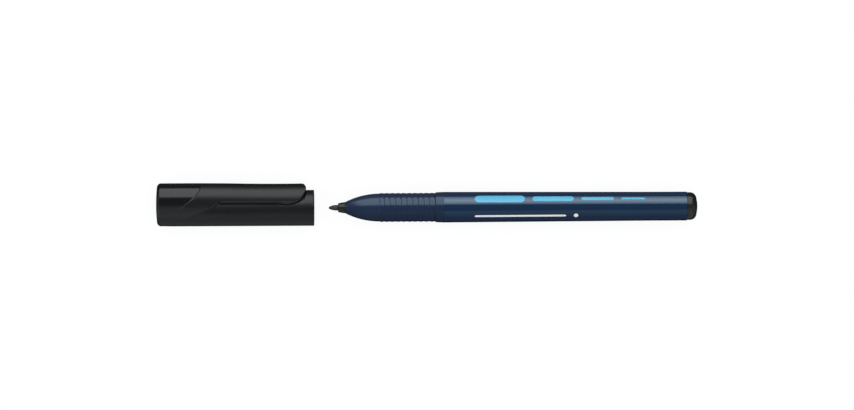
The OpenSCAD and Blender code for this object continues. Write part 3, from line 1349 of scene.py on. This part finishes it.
@dataclass
class Nib(TurnedPiece):
    """The fibre rod with its bullet point."""

    role = Role("bullet_nib", "nib", "nib_fibre")
    finish = NIB_FIBRE
    ends = Ends.POLES
    point: float = 2.5
    point_rows: int = 40
    crowding: float = 1.6
    fullness: float = 0.75
    tip: float = 0.24
    tip_fade: int = 4
    chamfer: float = 0.2
    step: float = 0.3
    columns: int = 96

    def outline(self) -> Array:
        """Draws the bullet and the rod.

        On the point, with t from 0 at the tip to 1 where it is straight, the radius is
        the rod's times one less (1 - t) squared, to the power of its fullness, and the
        blunt tip's times (1 - t) to the power of its fade.

        Returns:
            Points (x, radius), from pole to pole.
        """
        span = DATUM.span(self.role.node)
        share = np.linspace(0, 1, self.point_rows) ** self.crowding
        swell = (1 - (1 - share) ** 2) ** self.fullness
        radius = self.tip * (1 - share) ** self.tip_fade + span.radius * swell
        bullet = np.stack((span.start + self.point * share, radius), axis=1)
        rod = np.array((
            (span.end - self.chamfer, span.radius),
            (span.end, span.radius - self.chamfer),
            (span.end, 0.0),
        ))
        return divided(np.concatenate((((span.start, 0.0),), bullet, rod)), self.step)


@dataclass
class CapForm:
    """The lines that the cap and its clip share, by distance from the cap's closed end.

    Attributes:
        ridge: Height of the matte ridge above the axis.
        edge: Height of the band's swept edge, and after the root of the clip's edge.
        root: Where the clip starts.
        low_run: How much further the band's end runs on, below the swept edge.
        low_fade: Share of that run which each degree takes up.
        groove: Width of the groove beside that edge.
        groove_side: Width over which the groove's outer side sinks.
        groove_depth: How deep the tube is sunk under the clip and beside its edge.
        groove_tilt: How much the groove's floor falls away from the edge.
        sunk: The tube's depth under most of the clip.
        dip: Depth of the tube's dip behind the band, by height above the axis.
        dip_length: How far the dip runs.
        samples: Places at which the swept edge is read the other way round.
        slope_step: Length over which the edge's slope is read.
    """

    ridge: Knots = (
        (12.4, 8.585), (22.3, 8.51), (31.8, 8.35), (40.8, 8.27), (45.3, 8.28), (49.3, 8.32)
    )
    edge: Knots = (
        (13.2, -2.4), (14.9, -1.65), (15.7, -1.31), (17.1, -0.63), (18.46, 0.05), (19.6, 0.7),
        (20.3, 1.22), (21.0, 1.75), (21.8, 1.99), (23.5, 2.01), (36.0, 1.97), (39.0, 1.96),
        (41.4, 1.94), (42.4, 1.86), (43.5, 1.52), (44.2, 1.38), (45.0, 1.38), (45.6, 1.46),
        (46.2, 1.66), (46.9, 1.88), (47.6, 2.11), (48.35, 2.48), (49.0, 3.02), (49.5, 3.62),
        (50.0, 4.35), (50.45, 5.15), (50.75, 5.75), (50.9, 6.05)
    )
    root: float = 21.8
    low_run: float = 3.0
    low_fade: float = 0.07
    groove: Knots = (
        (20.4, 0.35), (22.5, 1.02), (41.0, 0.99), (42.4, 0.9), (43.5, 0.66), (44.9, 0.6),
        (46.2, 0.72), (48.0, 0.74), (49.0, 0.86), (50.0, 1.5)
    )
    groove_side: Knots = (
        (20.4, 0.3), (43.5, 0.24), (46.0, 0.42), (48.0, 0.5), (49.0, 0.7), (50.0, 1.4)
    )
    groove_depth: Knots = (
        (20.4, 0.0), (21.8, 0.46), (46.0, 0.44), (48.6, 0.34), (50.2, 0.2), (51.2, 0.0)
    )
    groove_tilt: float = 0.3
    sunk: float = 0.46
    dip: Knots = ((-3.2, 0.0), (-1.6, 0.11), (0.0, 0.24), (1.9, 0.26))
    dip_length: float = 26.0
    samples: int = 200
    slope_step: float = 0.05

    def __post_init__(self) -> None:
        """Reads the cap's and clip's places from the frame."""
        self.cap = DATUM.span("cap_shell")
        self.radius = self.cap.radius
        self.length = self.cap.end - self.cap.start
        self.tip = DATUM.span("pocket_clip").end - self.cap.start

    def ridge_at(self, along: Array) -> Array:
        """Gives the matte ridge's height."""
        return smooth_curve(along, self.ridge)

    def section(self, along: Array, angle: Array) -> Array:
        """Gives the matte skin's distance from the axis, over the ridge's rise."""
        return stadium_radius(angle, self.radius, self.ridge_at(along) - self.radius)

    def edge_at(self, along: Array) -> Array:
        """Gives the height of the swept edge."""
        return smooth_curve(along, self.edge)

    def edge_angle(self, along: Array) -> Array:
        """Gives the clip edge's angle from y: its cosine is the height over the radius."""
        return np.arccos(self.edge_at(np.maximum(along, self.root)) / self.radius)

    def root_line(self, side: Array) -> Array:
        """Gives how far along the band ends, the swept edge read the other way round.

        Args:
            side: Degrees from y, on either side.

        Returns:
            The root under the clip, the swept edge beside it, and below that edge's
            end a line that runs on towards the closed end and levels off, its
            distance left shrinking by the same share with each degree.
        """
        along = np.linspace(self.edge[0][0], self.root, self.samples)
        height = self.edge_at(along)
        lowest = math.degrees(math.acos(height[0] / self.radius))
        left = np.exp(-self.low_fade * np.maximum(side - lowest, 0))
        place = np.interp(self.radius * np.cos(np.radians(side)), height, along)
        return place - self.low_run * (1 - left)

    def relief(self, along: Array, height: Array) -> Array:
        """Gives how deep the tube is sunk beside and under the clip.

        The distance below the edge is the height under it over the length of its
        slope. The groove's floor falls away with that distance, and its outer side
        rises along a smooth step. Behind the band the tube dips and comes back along
        a smooth step too. The deeper of the two counts.

        Args:
            along: Distance from the cap's closed end.
            height: Height above the axis.

        Returns:
            The depth.
        """
        edge = self.edge_at(along)
        slope = (self.edge_at(along + self.slope_step) - edge) / self.slope_step
        below = (edge - height) / np.sqrt(1 + slope**2)
        width = smooth_curve(along, self.groove)
        fall = 1 + self.groove_tilt * np.clip(below, 0, width) / self.sunk
        rise = smooth_step((width - below) / smooth_curve(along, self.groove_side))
        groove = smooth_curve(along, self.groove_depth) * fall * rise
        behind = along - self.root_line(np.degrees(np.arccos(height / self.radius)))
        dip = smooth_curve(height, self.dip) * (1 - smooth_step(behind / self.dip_length))
        return np.maximum(groove, dip)


@dataclass
class Cap:
    """The cap: a polished crown, a raised matte skin with a swept edge, and a bored tube."""

    role: ClassVar[Role] = Role("cap_body", "cap_shell", "cap_black", Body.CAP)
    finishes: ClassVar[dict[Skin, Finish]] = {
        Skin.CROWN: BLACK_CROWN, Skin.BAND: BLACK_BAND, Skin.TUBE: BLACK_MATTE
    }
    form: CapForm
    stops: tuple[float, ...] = (60.0, 84.0, 114.0)
    counts: tuple[int, ...] = (40, 24, 40, 40, 24)
    belly_from: float = 80.0
    belly_over: float = 25.0
    skin: float = 0.16
    low_skin: float = 0.05
    skin_edge: Knots = (
        (0, 12.4), (12, 13.4), (23, 15.0), (34, 14.9), (54, 13.3), (70, 11.1), (90, 8.15),
        (130, 5.2), (180, 3.4)
    )
    crown_top: float = 8.58
    crown_rise: float = 2.2
    crown_rows: int = 12
    corner: float = 1.35
    corner_rows: int = 12
    dome: float = 0.3
    face_rows: int = 14
    bevel: Knots = (
        (46, 0.36), (55, 0.66), (60, 0.71), (66, 0.69), (72, 0.54), (78, 0.5), (85, 1.15),
        (105, 1.7)
    )
    bevel_round: float = 0.3
    bevel_hold: float = 0.05
    bevel_rows: int = 8
    band_rows: int = 18
    root_side: tuple[float, float] = (0.3, 1.1)
    root_hidden: float = 0.24
    root_cover: float = 0.3
    root_rows: int = 12
    root_crowding: float = 1.3
    # Painted highlight along the root's edge: its strength and how fast it fades from the edge
    root_glint_share: float = 0.7
    root_glint_fade: int = 6
    tube_rows: int = 116
    tube_spacing: Knots = ((0, 0), (0.2, 0.06), (0.4, 0.52), (0.94, 0.935), (1, 1))
    # Painted sheen on the tube's lower flank behind the band: its strength, run and heights
    tube_sheen: float = 0.27
    tube_sheen_run: float = 12.0
    tube_sheen_top: float = -1.2
    tube_sheen_top_fade: float = 1.2
    tube_sheen_foot: float = -5.4
    tube_sheen_foot_fade: float = 3.0
    mouth_round: float = 0.2
    mouth_rows: int = 9
    mouth_bore: float = 5.26
    mouth_chamfer: float = 0.16
    mouth_break: float = 0.05
    grip_bore: float = 5.025
    seat_bore: float = 4.795
    land: float = 4.0
    grip_line: float = 21.8
    seal_rim: float = 28.5
    room: float = 50.5
    bore_step: float = 1.5

    def __post_init__(self) -> None:
        """Spaces the columns, close where the clip's edge runs and wide elsewhere."""
        self.edge_side = math.degrees(float(self.form.edge_angle(np.array(self.form.root))))
        stops = (0.0, self.stops[0], self.edge_side, *self.stops[1:], 180.0)
        half = np.concatenate([
            np.linspace(low, high, count, endpoint=False)
            for low, high, count in zip(stops, stops[1:], self.counts)
        ])
        full = np.concatenate((half, 360 - np.append(half[1:], 180.0)[::-1]))
        self.angle = np.radians(full)[None, :]
        self.side = np.minimum(full, 360 - full)[None, :]
        self.belly = smooth_step((self.side - self.belly_from) / self.belly_over)

    def swayed(self, along: Array) -> Array:
        """Gives the columns' angles after the root, where one column follows the edge.

        Angles above the edge shrink or grow in proportion to the edge's own angle, and
        those below it to what is left of the half turn.

        Args:
            along: Distances from the cap's closed end.

        Returns:
            The angles from y, a full turn round.
        """
        start, now = math.radians(self.edge_side), self.form.edge_angle(along)
        side = np.radians(self.side)
        above = side * now / start
        below = np.pi - (np.pi - side) * (np.pi - now) / (np.pi - start)
        moved = np.where(side < start, above, below)
        return np.where(self.angle > np.pi, 2 * np.pi - moved, moved)

    def crown_radius(self, inset: Array) -> Array:
        """Gives the polished crown's distance from the axis.

        Its section is a raised one whose upper circle is stretched up to the crown's
        top, and its radius is the cap's less the skin, which is thinner on the belly.

        Args:
            inset: How far it is set in from its outside.

        Returns:
            The distances, for all columns.
        """
        radius = self.form.radius - mixed(self.skin, self.low_skin, self.belly)
        stretch = (self.crown_top - self.crown_rise) / radius
        return stadium_radius(self.angle, radius - inset, self.crown_rise, stretch)

    def tube_radius(self, along: Array, angle: Array) -> Array:
        """Gives the tube's radius, sunk beside and under the clip."""
        height = self.form.radius * np.cos(angle)
        return self.form.radius - self.form.relief(along, height)

    def painted_tube_sheen(self, behind: Array, angle: Array) -> Array:
        """Gives the tube's painted sheen, between two heights behind the band.

        Args:
            behind: Distance behind the band's edge.
            angle: Angle from y.

        Returns:
            The painted sheen: smooth steps up and down in height, and one down along the tube.
        """
        height = self.form.radius * np.cos(angle)
        under = smooth_step((self.tube_sheen_top - height) / self.tube_sheen_top_fade)
        over = smooth_step((height - self.tube_sheen_foot) / self.tube_sheen_foot_fade)
        return self.tube_sheen * under * over * (1 - smooth_step(behind / self.tube_sheen_run))

    def end_rows(self) -> Array:
        """Makes the closed end: a shallow dome, then the round edge.

        The dome is the edge's inner outline shrunk towards its middle, deeper by the
        square of the share. The round edge sets the outline in by a quarter turn.

        Returns:
            A grid whose first row is one point.
        """
        share = shares(self.face_rows)[..., None]
        inner = polar_grid(np.zeros((1, 1)), self.crown_radius(self.corner), self.angle)
        middle = np.array((0.0, (self.crown_top - self.form.radius) / 2, 0.0))
        face = mixed(middle, inner, share) + self.dome * share**2 * np.array((1.0, 0.0, 0.0))
        turn = shares(self.corner_rows, np.pi / 2)[1:]
        along = self.dome + self.corner * (1 - np.cos(turn))
        edge = polar_grid(along, self.crown_radius(self.corner * (1 - np.sin(turn))), self.angle)
        return np.concatenate((face, edge))

    def skin_rows(self) -> tuple[Array, Array, Array]:
        """Makes the crown, the skin's swept edge, the band, the root's edge and the tube.

        Each stretch runs between two lines that follow the edges round the cap, so
        rows lie on the edges. The skin rises over its bevel as a ramp with eased ends.
        The band's edge falls to the tube along a parabola, or, where the clip covers
        it, along a smooth step inside the clip. The tube's rows lie closest at the
        band's edge and where the clip's edge is curved.

        Returns:
            The grid, how much painted highlight and sheen each point gets, and the finish after
            each row.
        """
        form, angle, crown = self.form, self.angle, self.crown_radius(0.0)
        first = smooth_curve(self.side, self.skin_edge)
        bevel = smooth_curve(self.side, self.bevel)
        root = form.root_line(self.side)
        covered = smooth_step(self.edge_side + self.root_cover - self.side)
        start = root - self.root_side[0] * (1 - covered)
        stop = root + mixed(self.root_side[1], self.root_hidden, covered)

        x_crown = mixed(self.dome + self.corner, first, shares(self.crown_rows)[1:-1])
        x_crown = np.concatenate((x_crown, first - self.bevel_hold))
        r_crown = crown + 0 * x_crown

        share = shares(self.bevel_rows)
        x_bevel = first + bevel * share
        ramp = mixed(share, smooth_step(share), self.bevel_round)
        r_bevel = mixed(crown, form.section(x_bevel, angle), ramp)

        x_band = mixed(first + bevel, start, shares(self.band_rows)[1:-1])
        x_band = np.concatenate((first + bevel + self.bevel_hold, x_band))
        r_band = form.section(x_band, angle)

        share = shares(self.root_rows) ** self.root_crowding
        x_root = mixed(start, stop, share)
        drop = mixed(1 - (1 - share) ** 2, smooth_step(share), covered)
        r_root = mixed(form.section(x_root, angle), self.tube_radius(x_root, angle), drop)
        # Painted highlight along the root's edge, below the clip's edge and above the belly
        upper = (1 - self.belly) * (self.side > self.edge_side)
        root_glint = self.root_glint_share * (1 - share) ** self.root_glint_fade * upper

        share = np.interp(shares(self.tube_rows), *np.array(self.tube_spacing).T)[1:]
        x_tube = mixed(stop, form.length - self.mouth_round, share)
        a_tube = self.swayed(x_tube)
        r_tube = self.tube_radius(x_tube, a_tube)

        x = np.concatenate((x_crown, x_bevel, x_band, x_root))
        radius = np.concatenate((r_crown, r_bevel, r_band, r_root))
        grid = np.concatenate((polar_grid(x, radius, angle), polar_grid(x_tube, r_tube, a_tube)))
        # No painted light on the crown, bevel and band; painted highlight on the root's edge and
        # painted sheen on the tube
        unpainted = np.zeros((len(x) - len(x_root), angle.shape[1]))
        painted_light = np.concatenate((unpainted, root_glint, self.painted_tube_sheen(x_tube - stop, a_tube)))
        polished = len(x_crown) + len(x_bevel) - 2
        counts = (polished, len(unpainted) - polished, len(x_root) + len(x_tube))
        return grid, painted_light, np.repeat(list(Skin), counts)

    def inside_rows(self) -> Array:
        """Makes the round mouth and the stepped bore.

        Returns:
            A grid whose last row is one point.
        """
        end = self.form.length
        turn = shares(self.mouth_rows, np.pi / 2)[1:]
        lip = np.hstack((
            end - self.mouth_round * (1 - np.sin(turn)),
            self.form.radius - self.mouth_round * (1 - np.cos(turn)),
        ))
        bore = np.array((
            (end, self.mouth_bore + self.mouth_chamfer),
            (end - self.mouth_break, self.mouth_bore + self.mouth_break),
            (end - self.mouth_chamfer, self.mouth_bore),
            (end - self.land, self.mouth_bore),
            (end - self.grip_line, self.grip_bore),
            (end - self.seal_rim, self.grip_bore),
            (end - self.seal_rim, self.seat_bore),
            (end - self.room, self.seat_bore),
            (end - self.room, 0.0),
        ))
        line = np.concatenate((lip, divided(bore, self.bore_step)))
        return polar_grid(line[:, :1], line[:, 1:], self.swayed(np.array(end)))

    def build(self) -> list[bpy.types.Object]:
        """Joins the closed end, the skin and the inside into one shell.

        The end's face and the inside are as matte as the tube, and neither gets painted light.

        Returns:
            The cap.
        """
        end, inside = self.end_rows(), self.inside_rows()
        skin, painted_light, finish = self.skin_rows()
        grid = np.concatenate((end, skin, inside))
        grid[..., 0] += self.form.cap.start
        before, after = len(end) - 1, len(inside) - 1
        painted_light = np.pad(painted_light, ((before, after), (0, 0))).ravel()
        finish = np.pad(finish, (before, after - 1), constant_values=(Skin.CROWN, Skin.TUBE))
        finish[:self.face_rows - 2] = Skin.TUBE
        piece = make_piece(
            self.role.name,
            closed_surface(grid, Ends.POLES),
            [self.finishes[skin].material() for skin in Skin],
            np.repeat(np.append(finish, (Skin.TUBE, Skin.TUBE)), grid.shape[1]),
            np.append(painted_light, (0.0, 0.0)),
        )
        stand_for(piece, self.role)
        return [piece]


@dataclass
class PocketClip:
    """The clip: a half shell over the tube, with a lobed edge and a round tip."""

    role: ClassVar[Role] = Role("clip_blade", "pocket_clip", "cap_black", None)
    finish: ClassVar[Finish] = BLACK_MATTE
    form: CapForm
    tip_round: float = 1.5
    tip_height: float = 0.35
    edge_round: float = 0.46
    edge_gap: float = 0.1
    top_gap: float = 1.0
    least_wall: float = 0.12
    bead: float = 3.0
    bead_gap: float = 0.13
    bead_rise: float = 1.2
    bend: float = 6.0
    # Painted highlight on the clip: along its edges from the root, on its skirt below a height, and
    # at its tip
    root_glint_share: float = 0.5
    root_glint_run: float = 2.0
    glint_line: float = 2.45
    rub_and_glint_fade: float = 0.2
    tip_glint: float = 0.3
    straight_rows: int = 100
    tip_rows: int = 22
    outer_columns: int = 81
    edge_columns: int = 6
    inner_columns: int = 49

    def top_at(self, along: Array) -> Array:
        """Gives the clip's height, falling from the ridge as a quarter circle at the tip.

        Args:
            along: Distance from the cap's closed end.

        Returns:
            The height above the axis.
        """
        over = np.maximum(along - (self.form.tip - self.tip_round), 0)
        fall = self.tip_round - np.sqrt(np.maximum(self.tip_round**2 - over**2, 0))
        return self.form.ridge_at(along) - fall

    def sections(self) -> tuple[Array, Array]:
        """Makes the clip's closed sections from its root to its tip.

        The outside follows the cap's raised section over the ridge, cut at the lower
        edge's height on both sides. The inside lies a gap above the sunk tube at the
        edges and rises to the top gap as one less the square of the share round,
        except on the bead near the tip, and its edges are as high as the outside's. A
        quarter turn rounds the outer edge, and at the tip all that is higher than the
        falling top is cut off level. Edges, skirt and tip get a painted highlight.

        Returns:
            A grid with one section in each row, and how much painted highlight each point gets.
        """
        form = self.form
        straight = np.linspace(form.root, form.tip - self.tip_round, self.straight_rows)
        turn = np.linspace(0, np.pi / 2, self.tip_rows)[1:]
        along = np.append(straight, form.tip + self.tip_round * (np.sin(turn) - 1))[:, None]
        rise = form.ridge_at(along) - form.radius
        edge = np.minimum(form.edge_at(along), self.top_at(along) - self.tip_height)
        across = np.sqrt(np.maximum(form.radius**2 - np.maximum(edge - rise, 0) ** 2, 0.0))
        widest = np.arctan2(across, edge)

        trim = self.edge_round / form.radius
        a_out = np.linspace(-1, 1, self.outer_columns)[None, :] * (widest - trim)
        r_out = stadium_radius(a_out, form.radius, rise)
        quarter = np.linspace(0, np.pi / 2, self.edge_columns)[None, 1:]
        a_edge = widest - trim * (1 - np.sin(quarter))
        r_edge = stadium_radius(a_edge, form.radius, rise) - self.edge_round * (1 - np.cos(quarter))
        back = np.linspace(1, -1, self.inner_columns)[None, :]
        low = form.radius - form.sunk + self.edge_gap
        high = form.radius + self.top_gap
        beaded = smooth_step((along - form.tip + self.bead) / self.bead_rise)
        r_in = mixed(mixed(low, high, 1 - back**2), form.radius + self.bead_gap, beaded)
        a_in = back * np.arccos(np.clip(edge / r_in[:, :1], -1, 1))
        r_in = np.minimum(r_in, stadium_radius(a_in, form.radius, rise) - self.least_wall)

        angle = np.concatenate((a_out, a_edge, a_in, -a_edge[:, ::-1]), axis=1)
        radius = np.concatenate((r_out, r_edge, r_in, r_edge[:, ::-1]), axis=1)
        grid = polar_grid(along + form.cap.start, radius, angle)
        grid[..., 1] = np.minimum(grid[..., 1], self.top_at(along))
        widths = [part.shape[1] for part in (a_out, a_edge, a_in, a_edge)]
        # Painted highlight: light lines along the edges, the skirt and the tip
        glint = mixed(self.root_glint_share, 1.0, smooth_step((along - form.root) / self.root_glint_run))
        edges = np.repeat((0.0, 1.0, 0.0, 1.0), widths) * glint
        skirt = smooth_step((self.glint_line - grid[..., 1]) / self.rub_and_glint_fade)
        tip = smooth_step((along - form.tip + self.tip_glint) / self.rub_and_glint_fade)
        return grid, np.maximum(np.maximum(edges, skirt), tip)

    def build(self) -> list[bpy.types.Object]:
        """Sweeps the sections into the clip.

        Returns:
            The clip.
        """
        grid, painted_light = self.sections()
        surface = closed_surface(grid, Ends.FLAT)
        piece = make_piece(self.role.name, surface, [self.finish.material()], painted_light=painted_light.ravel())
        root = self.form.cap.start + self.form.root
        start, end = DATUM.metres(np.array(((root, 0.0, 0.0), (root + self.bend, 0.0, 0.0))))
        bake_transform(piece)
        stand_for(piece, self.role)
        return [piece]


@dataclass
class InnerCap(TurnedPiece):
    """The sleeve inside the cap that seals on the nose round the nib."""

    role = Role("seal_sleeve", "inner_cap", "seal_white", Body.CAP)
    finish = SEAL_WHITE
    ends = Ends.POLES
    bore: float = 3.58
    rim_bore: float = 4.2
    rim_depth: float = 3.0
    rim_round: float = 0.1
    edge_round: float = 0.15
    bend_round: float = 0.3
    floor: float = 1.2
    floor_round: float = 0.4
    cup: float = 13.1
    step: float = 1.0
    columns: int = 128

    def outline(self) -> Array:
        """Draws the sleeve: a cup before a floor, and a skirt behind it.

        Returns:
            Points (x, radius), from pole to pole.
        """
        span = DATUM.span(self.role.node)
        cup = span.end - self.cup
        return divided(round_corners((
            (cup, 0.0, 0.0),
            (cup, self.bore, self.floor_round),
            (span.end - self.rim_depth, self.bore, self.bend_round),
            (span.end, self.rim_bore, self.rim_round),
            (span.end, span.radius, self.edge_round),
            (span.start, span.radius, self.edge_round),
            (span.start, self.bore, self.rim_round),
            (cup - self.floor, self.bore, self.bend_round),
            (cup - self.floor, 0.0, 0.0),
        )), self.step)


@dataclass
class InkSupply:
    """The ink core and its film, which stay as the frame has them."""

    core: Finish = CORE_FIBRE
    wrap: Finish = FILM

    def build(self) -> list[bpy.types.Object]:
        """Dresses both nodes in fibre and film.

        Returns:
            The nodes' objects.
        """
        owners = [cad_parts[node] for node in ("ink_core", "core_wrap")]
        for owner, finish in zip(owners, (self.core, self.wrap)):
            material = finish.material()
            if not owner.material_slots:
                owner.data.materials.append(material)
            for slot in owner.material_slots:
                slot.material = material
        return owners


class Lit(Enum):
    """What a light gives: shine alone or shade alone."""

    SHINE = "shine"
    SHADE = "shade"


@dataclass(frozen=True)
class SoftBox:
    """A large soft light round the table, long along the marker.

    Attributes:
        name: The light's name.
        low: Degrees from straight up at which it starts, positive towards y.
        high: Degrees from straight up at which it ends.
        radiance: How bright its face is, where 1 is white.
        lit: What it gives.
        length: How long it is, in metres.
        pieces: The pieces that it is screened off to, or none for all.
        spread: Degrees over which its face shines.
        colour: Its colour.
        distance: How far it is from the marker, in metres.
        turn: Degrees by which it is carried round the table, from y towards the nib.
        shift: How far its middle stands off along the marker, in metres.
    """

    name: str
    low: float
    high: float
    radiance: float
    lit: Lit = Lit.SHINE
    length: float = 1.2
    pieces: tuple[str, ...] = ()
    spread: float = 180.0
    colour: Colour = (0.975, 1.0, 1.045)
    distance: float = 0.8
    turn: float = 0.0
    shift: float = 0.0

    def build(self) -> None:
        """Sets the light up, facing the marker, as high as its angles ask."""
        turn = math.radians(self.turn)
        middle = math.radians((self.low + self.high) / 2)
        half = math.radians(abs(self.high - self.low) / 2)
        height = 2 * self.distance * math.tan(half)
        lamp = bpy.data.lights.new(self.name, "AREA")
        lamp.shape = "RECTANGLE"
        lamp.size, lamp.size_y = self.length, height
        lamp.energy = self.radiance * math.pi * self.length * height
        lamp.color = self.colour
        lamp.spread = math.radians(self.spread)
        holder = bpy.data.objects.new(self.name, lamp)
        out = self.distance * math.sin(middle)
        holder.location = (
            self.shift - out * math.sin(turn),
            out * math.cos(turn),
            self.distance * math.cos(middle),
        )
        holder.rotation_euler = (-middle, 0.0, turn)
        holder.visible_camera = False
        holder.visible_glossy = self.lit is Lit.SHINE
        holder.visible_diffuse = self.lit is Lit.SHADE
        bpy.context.scene.collection.objects.link(holder)
        if self.pieces:
            screened = bpy.data.collections.new(self.name + "_pieces")
            for piece in self.pieces:
                screened.objects.link(bpy.data.objects[piece])
            holder.light_linking.receiver_collection = screened


CAP, CLIP, SLEEVE = Cap.role.name, PocketClip.role.name, InnerCap.role.name
BARREL, GRIP, PLUG = Barrel.role.name, GripSection.role.name, EndPlug.role.name
CONE, NIB = NibHolder.role.name, Nib.role.name


@dataclass
class Studio:
    """The pale table, the soft boxes and the dim room."""

    boxes: tuple[SoftBox, ...] = (
        SoftBox("cap_key", 27.0, 87.0, 1.85, pieces=(CAP, CLIP, SLEEVE)),
        SoftBox(
            "pen_key", 20.0, 85.0, 1.75, length=2.1, pieces=(BARREL, GRIP, CONE, NIB), shift=0.47
        ),
        SoftBox("plug_key", 20.0, 85.0, 1.85, pieces=(PLUG,)),
        SoftBox("barrel_strip", 27.0, 75.0, 0.28, pieces=(BARREL,), spread=60.0),
        SoftBox("rim_box", 92.0, 150.0, 0.05),
        SoftBox("grip_rim", 92.0, 150.0, 0.1, pieces=(GRIP, PLUG)),
        SoftBox("fill_box", -28.0, -126.0, 0.1),
        SoftBox("cap_fill", -34.0, -140.0, 0.23, pieces=(CAP, CLIP, SLEEVE)),
        SoftBox("end_fill", 40.0, 115.0, 0.3, length=0.7, pieces=(CAP,), turn=119.0),
        SoftBox("nib_end_box", 62.0, 88.0, 0.65, turn=90.0),
        SoftBox(
            "tail_end_box", 62.0, 88.0, 0.65, pieces=(CAP, CLIP, SLEEVE, BARREL, GRIP), turn=-90.0
        ),
        SoftBox("black_fill", -20.0, -126.0, 0.24, pieces=(PLUG, CONE)),
        SoftBox("plug_fill", 42.0, 110.0, 0.24, pieces=(PLUG,), turn=-128.0),
        SoftBox("barrel_fill", -28.0, -58.0, 0.12, pieces=(BARREL,)),
        SoftBox("barrel_low_fill", -28.0, -80.0, 0.1, pieces=(BARREL,)),
        SoftBox("sky_box", -60.0, 60.0, 1.28, Lit.SHADE, length=4.2, distance=1.2),
        SoftBox("upper_shade", 62.0, 118.0, 1.85, Lit.SHADE, pieces=(BARREL, GRIP)),
    )
    room: float = 0.015
    backdrop: float = 0.97
    table_half: float = 6.0
    table_gap: float = 0.02
    table_albedo: float = 0.12
    table_mottle: float = 0.04
    table_patch: float = 60.0
    table_glow: float = 0.9

    def build(self) -> None:
        """Builds the lights, the table and the room."""
        for box in self.boxes:
            box.build()
        self.table()
        self.world()
        bpy.context.scene.view_settings.view_transform = "Standard"

    def table(self) -> None:
        """Lays a pale table just under the cap, which no reflection shows."""
        half, level = self.table_half, -self.table_gap * MM
        corners = ((-half, -half), (half, -half), (half, half), (-half, half))
        mesh = bpy.data.meshes.new("table")
        mesh.from_pydata([(x, y, level) for x, y in corners], [], [(0, 1, 2, 3)])
        kit = NodeKit(bpy.data.materials.new("table_pale"))
        pale = scaled(WHITE, self.table_albedo)
        tint = kit.noise(kit.place(), self.table_patch)
        mesh.materials.append(kit.surface({
            "Base Color": kit.mix(tint, scaled(pale, 1 - self.table_mottle), pale),
            "Roughness": 0.9,
            "Specular IOR Level": 0.0,
            "Emission Color": rgba(WHITE),
            "Emission Strength": self.table_glow,
        }))
        table = bpy.data.objects.new("table", mesh)
        bpy.context.scene.collection.objects.link(table)
        table.visible_glossy = False
        table.visible_diffuse = False
        table.visible_shadow = False

    def world(self) -> None:
        """Lights the room dimly, with a pale backdrop for the camera alone."""
        kit = NodeKit(bpy.data.worlds.new("room"))
        seen = kit.node("ShaderNodeLightPath", {}, {}, "Is Camera Ray")
        strength = mixed(self.room, self.backdrop, seen)
        inputs = {"Color": rgba(WHITE), "Strength": strength}
        shade = kit.node("ShaderNodeBackground", {}, inputs)
        kit.add("ShaderNodeOutputWorld", {}, {"Surface": shade})
        bpy.context.scene.world = kit.owner


@dataclass(frozen=True)
class PhotoCamera:
    """The camera straight above the marker, as the photograph has it.

    Attributes:
        lens: Focal length in millimetres.
        sensor: Sensor width in millimetres.
        distance: Height above the marker's axis.
        aim_x: Where the picture's middle is along the marker.
        aim_y: Where the picture's middle is across it.
        roll: Degrees by which the marker's tail rises in the picture.
        near: Nearest distance that it shows, in metres.
        far: Furthest distance that it shows, in metres.
    """

    lens: float = 255.0
    sensor: float = 36.0
    distance: float = 2056.8
    aim_x: float = -5.71
    aim_y: float = 0.78
    roll: float = 0.2755
    near: float = 0.01
    far: float = 30.0

    def build(self) -> None:
        """Places the camera."""
        data = bpy.data.cameras.new("photo_camera")
        data.lens, data.sensor_width, data.sensor_fit = self.lens, self.sensor, "HORIZONTAL"
        data.clip_start, data.clip_end = self.near, self.far
        camera = bpy.data.objects.new("photo_camera", data)
        place = DATUM.metres(np.array((self.aim_x, self.aim_y, self.distance)))
        turn = Matrix.Rotation(math.radians(-self.roll), 4, "Z")
        camera.matrix_world = Matrix.Translation(place.tolist()) @ turn
        bpy.context.scene.collection.objects.link(camera)
        bpy.context.scene.camera = camera


def main() -> None:
    """Builds the camera, the marker, its cap and the studio in order, and reports each piece."""
    logging.basicConfig(level=logging.INFO, format="%(message)s")
    PhotoCamera().build()
    barrel, form = Barrel(), CapForm()
    parts: tuple[SubAssembly, ...] = (
        barrel,
        BarrelPrint(barrel),
        EndPlug(barrel),
        GripSection(barrel),
        NibHolder(),
        Nib(),
        Cap(form),
        PocketClip(form),
        InnerCap(),
        InkSupply(),
    )
    for part in parts:
        for piece in part.build():
            faces = len(piece.data.polygons)
            LOG.info("%s: %s with %d faces", type(part).__name__, piece.name, faces)
    Studio().build()


if __name__ == "__main__":
    main()
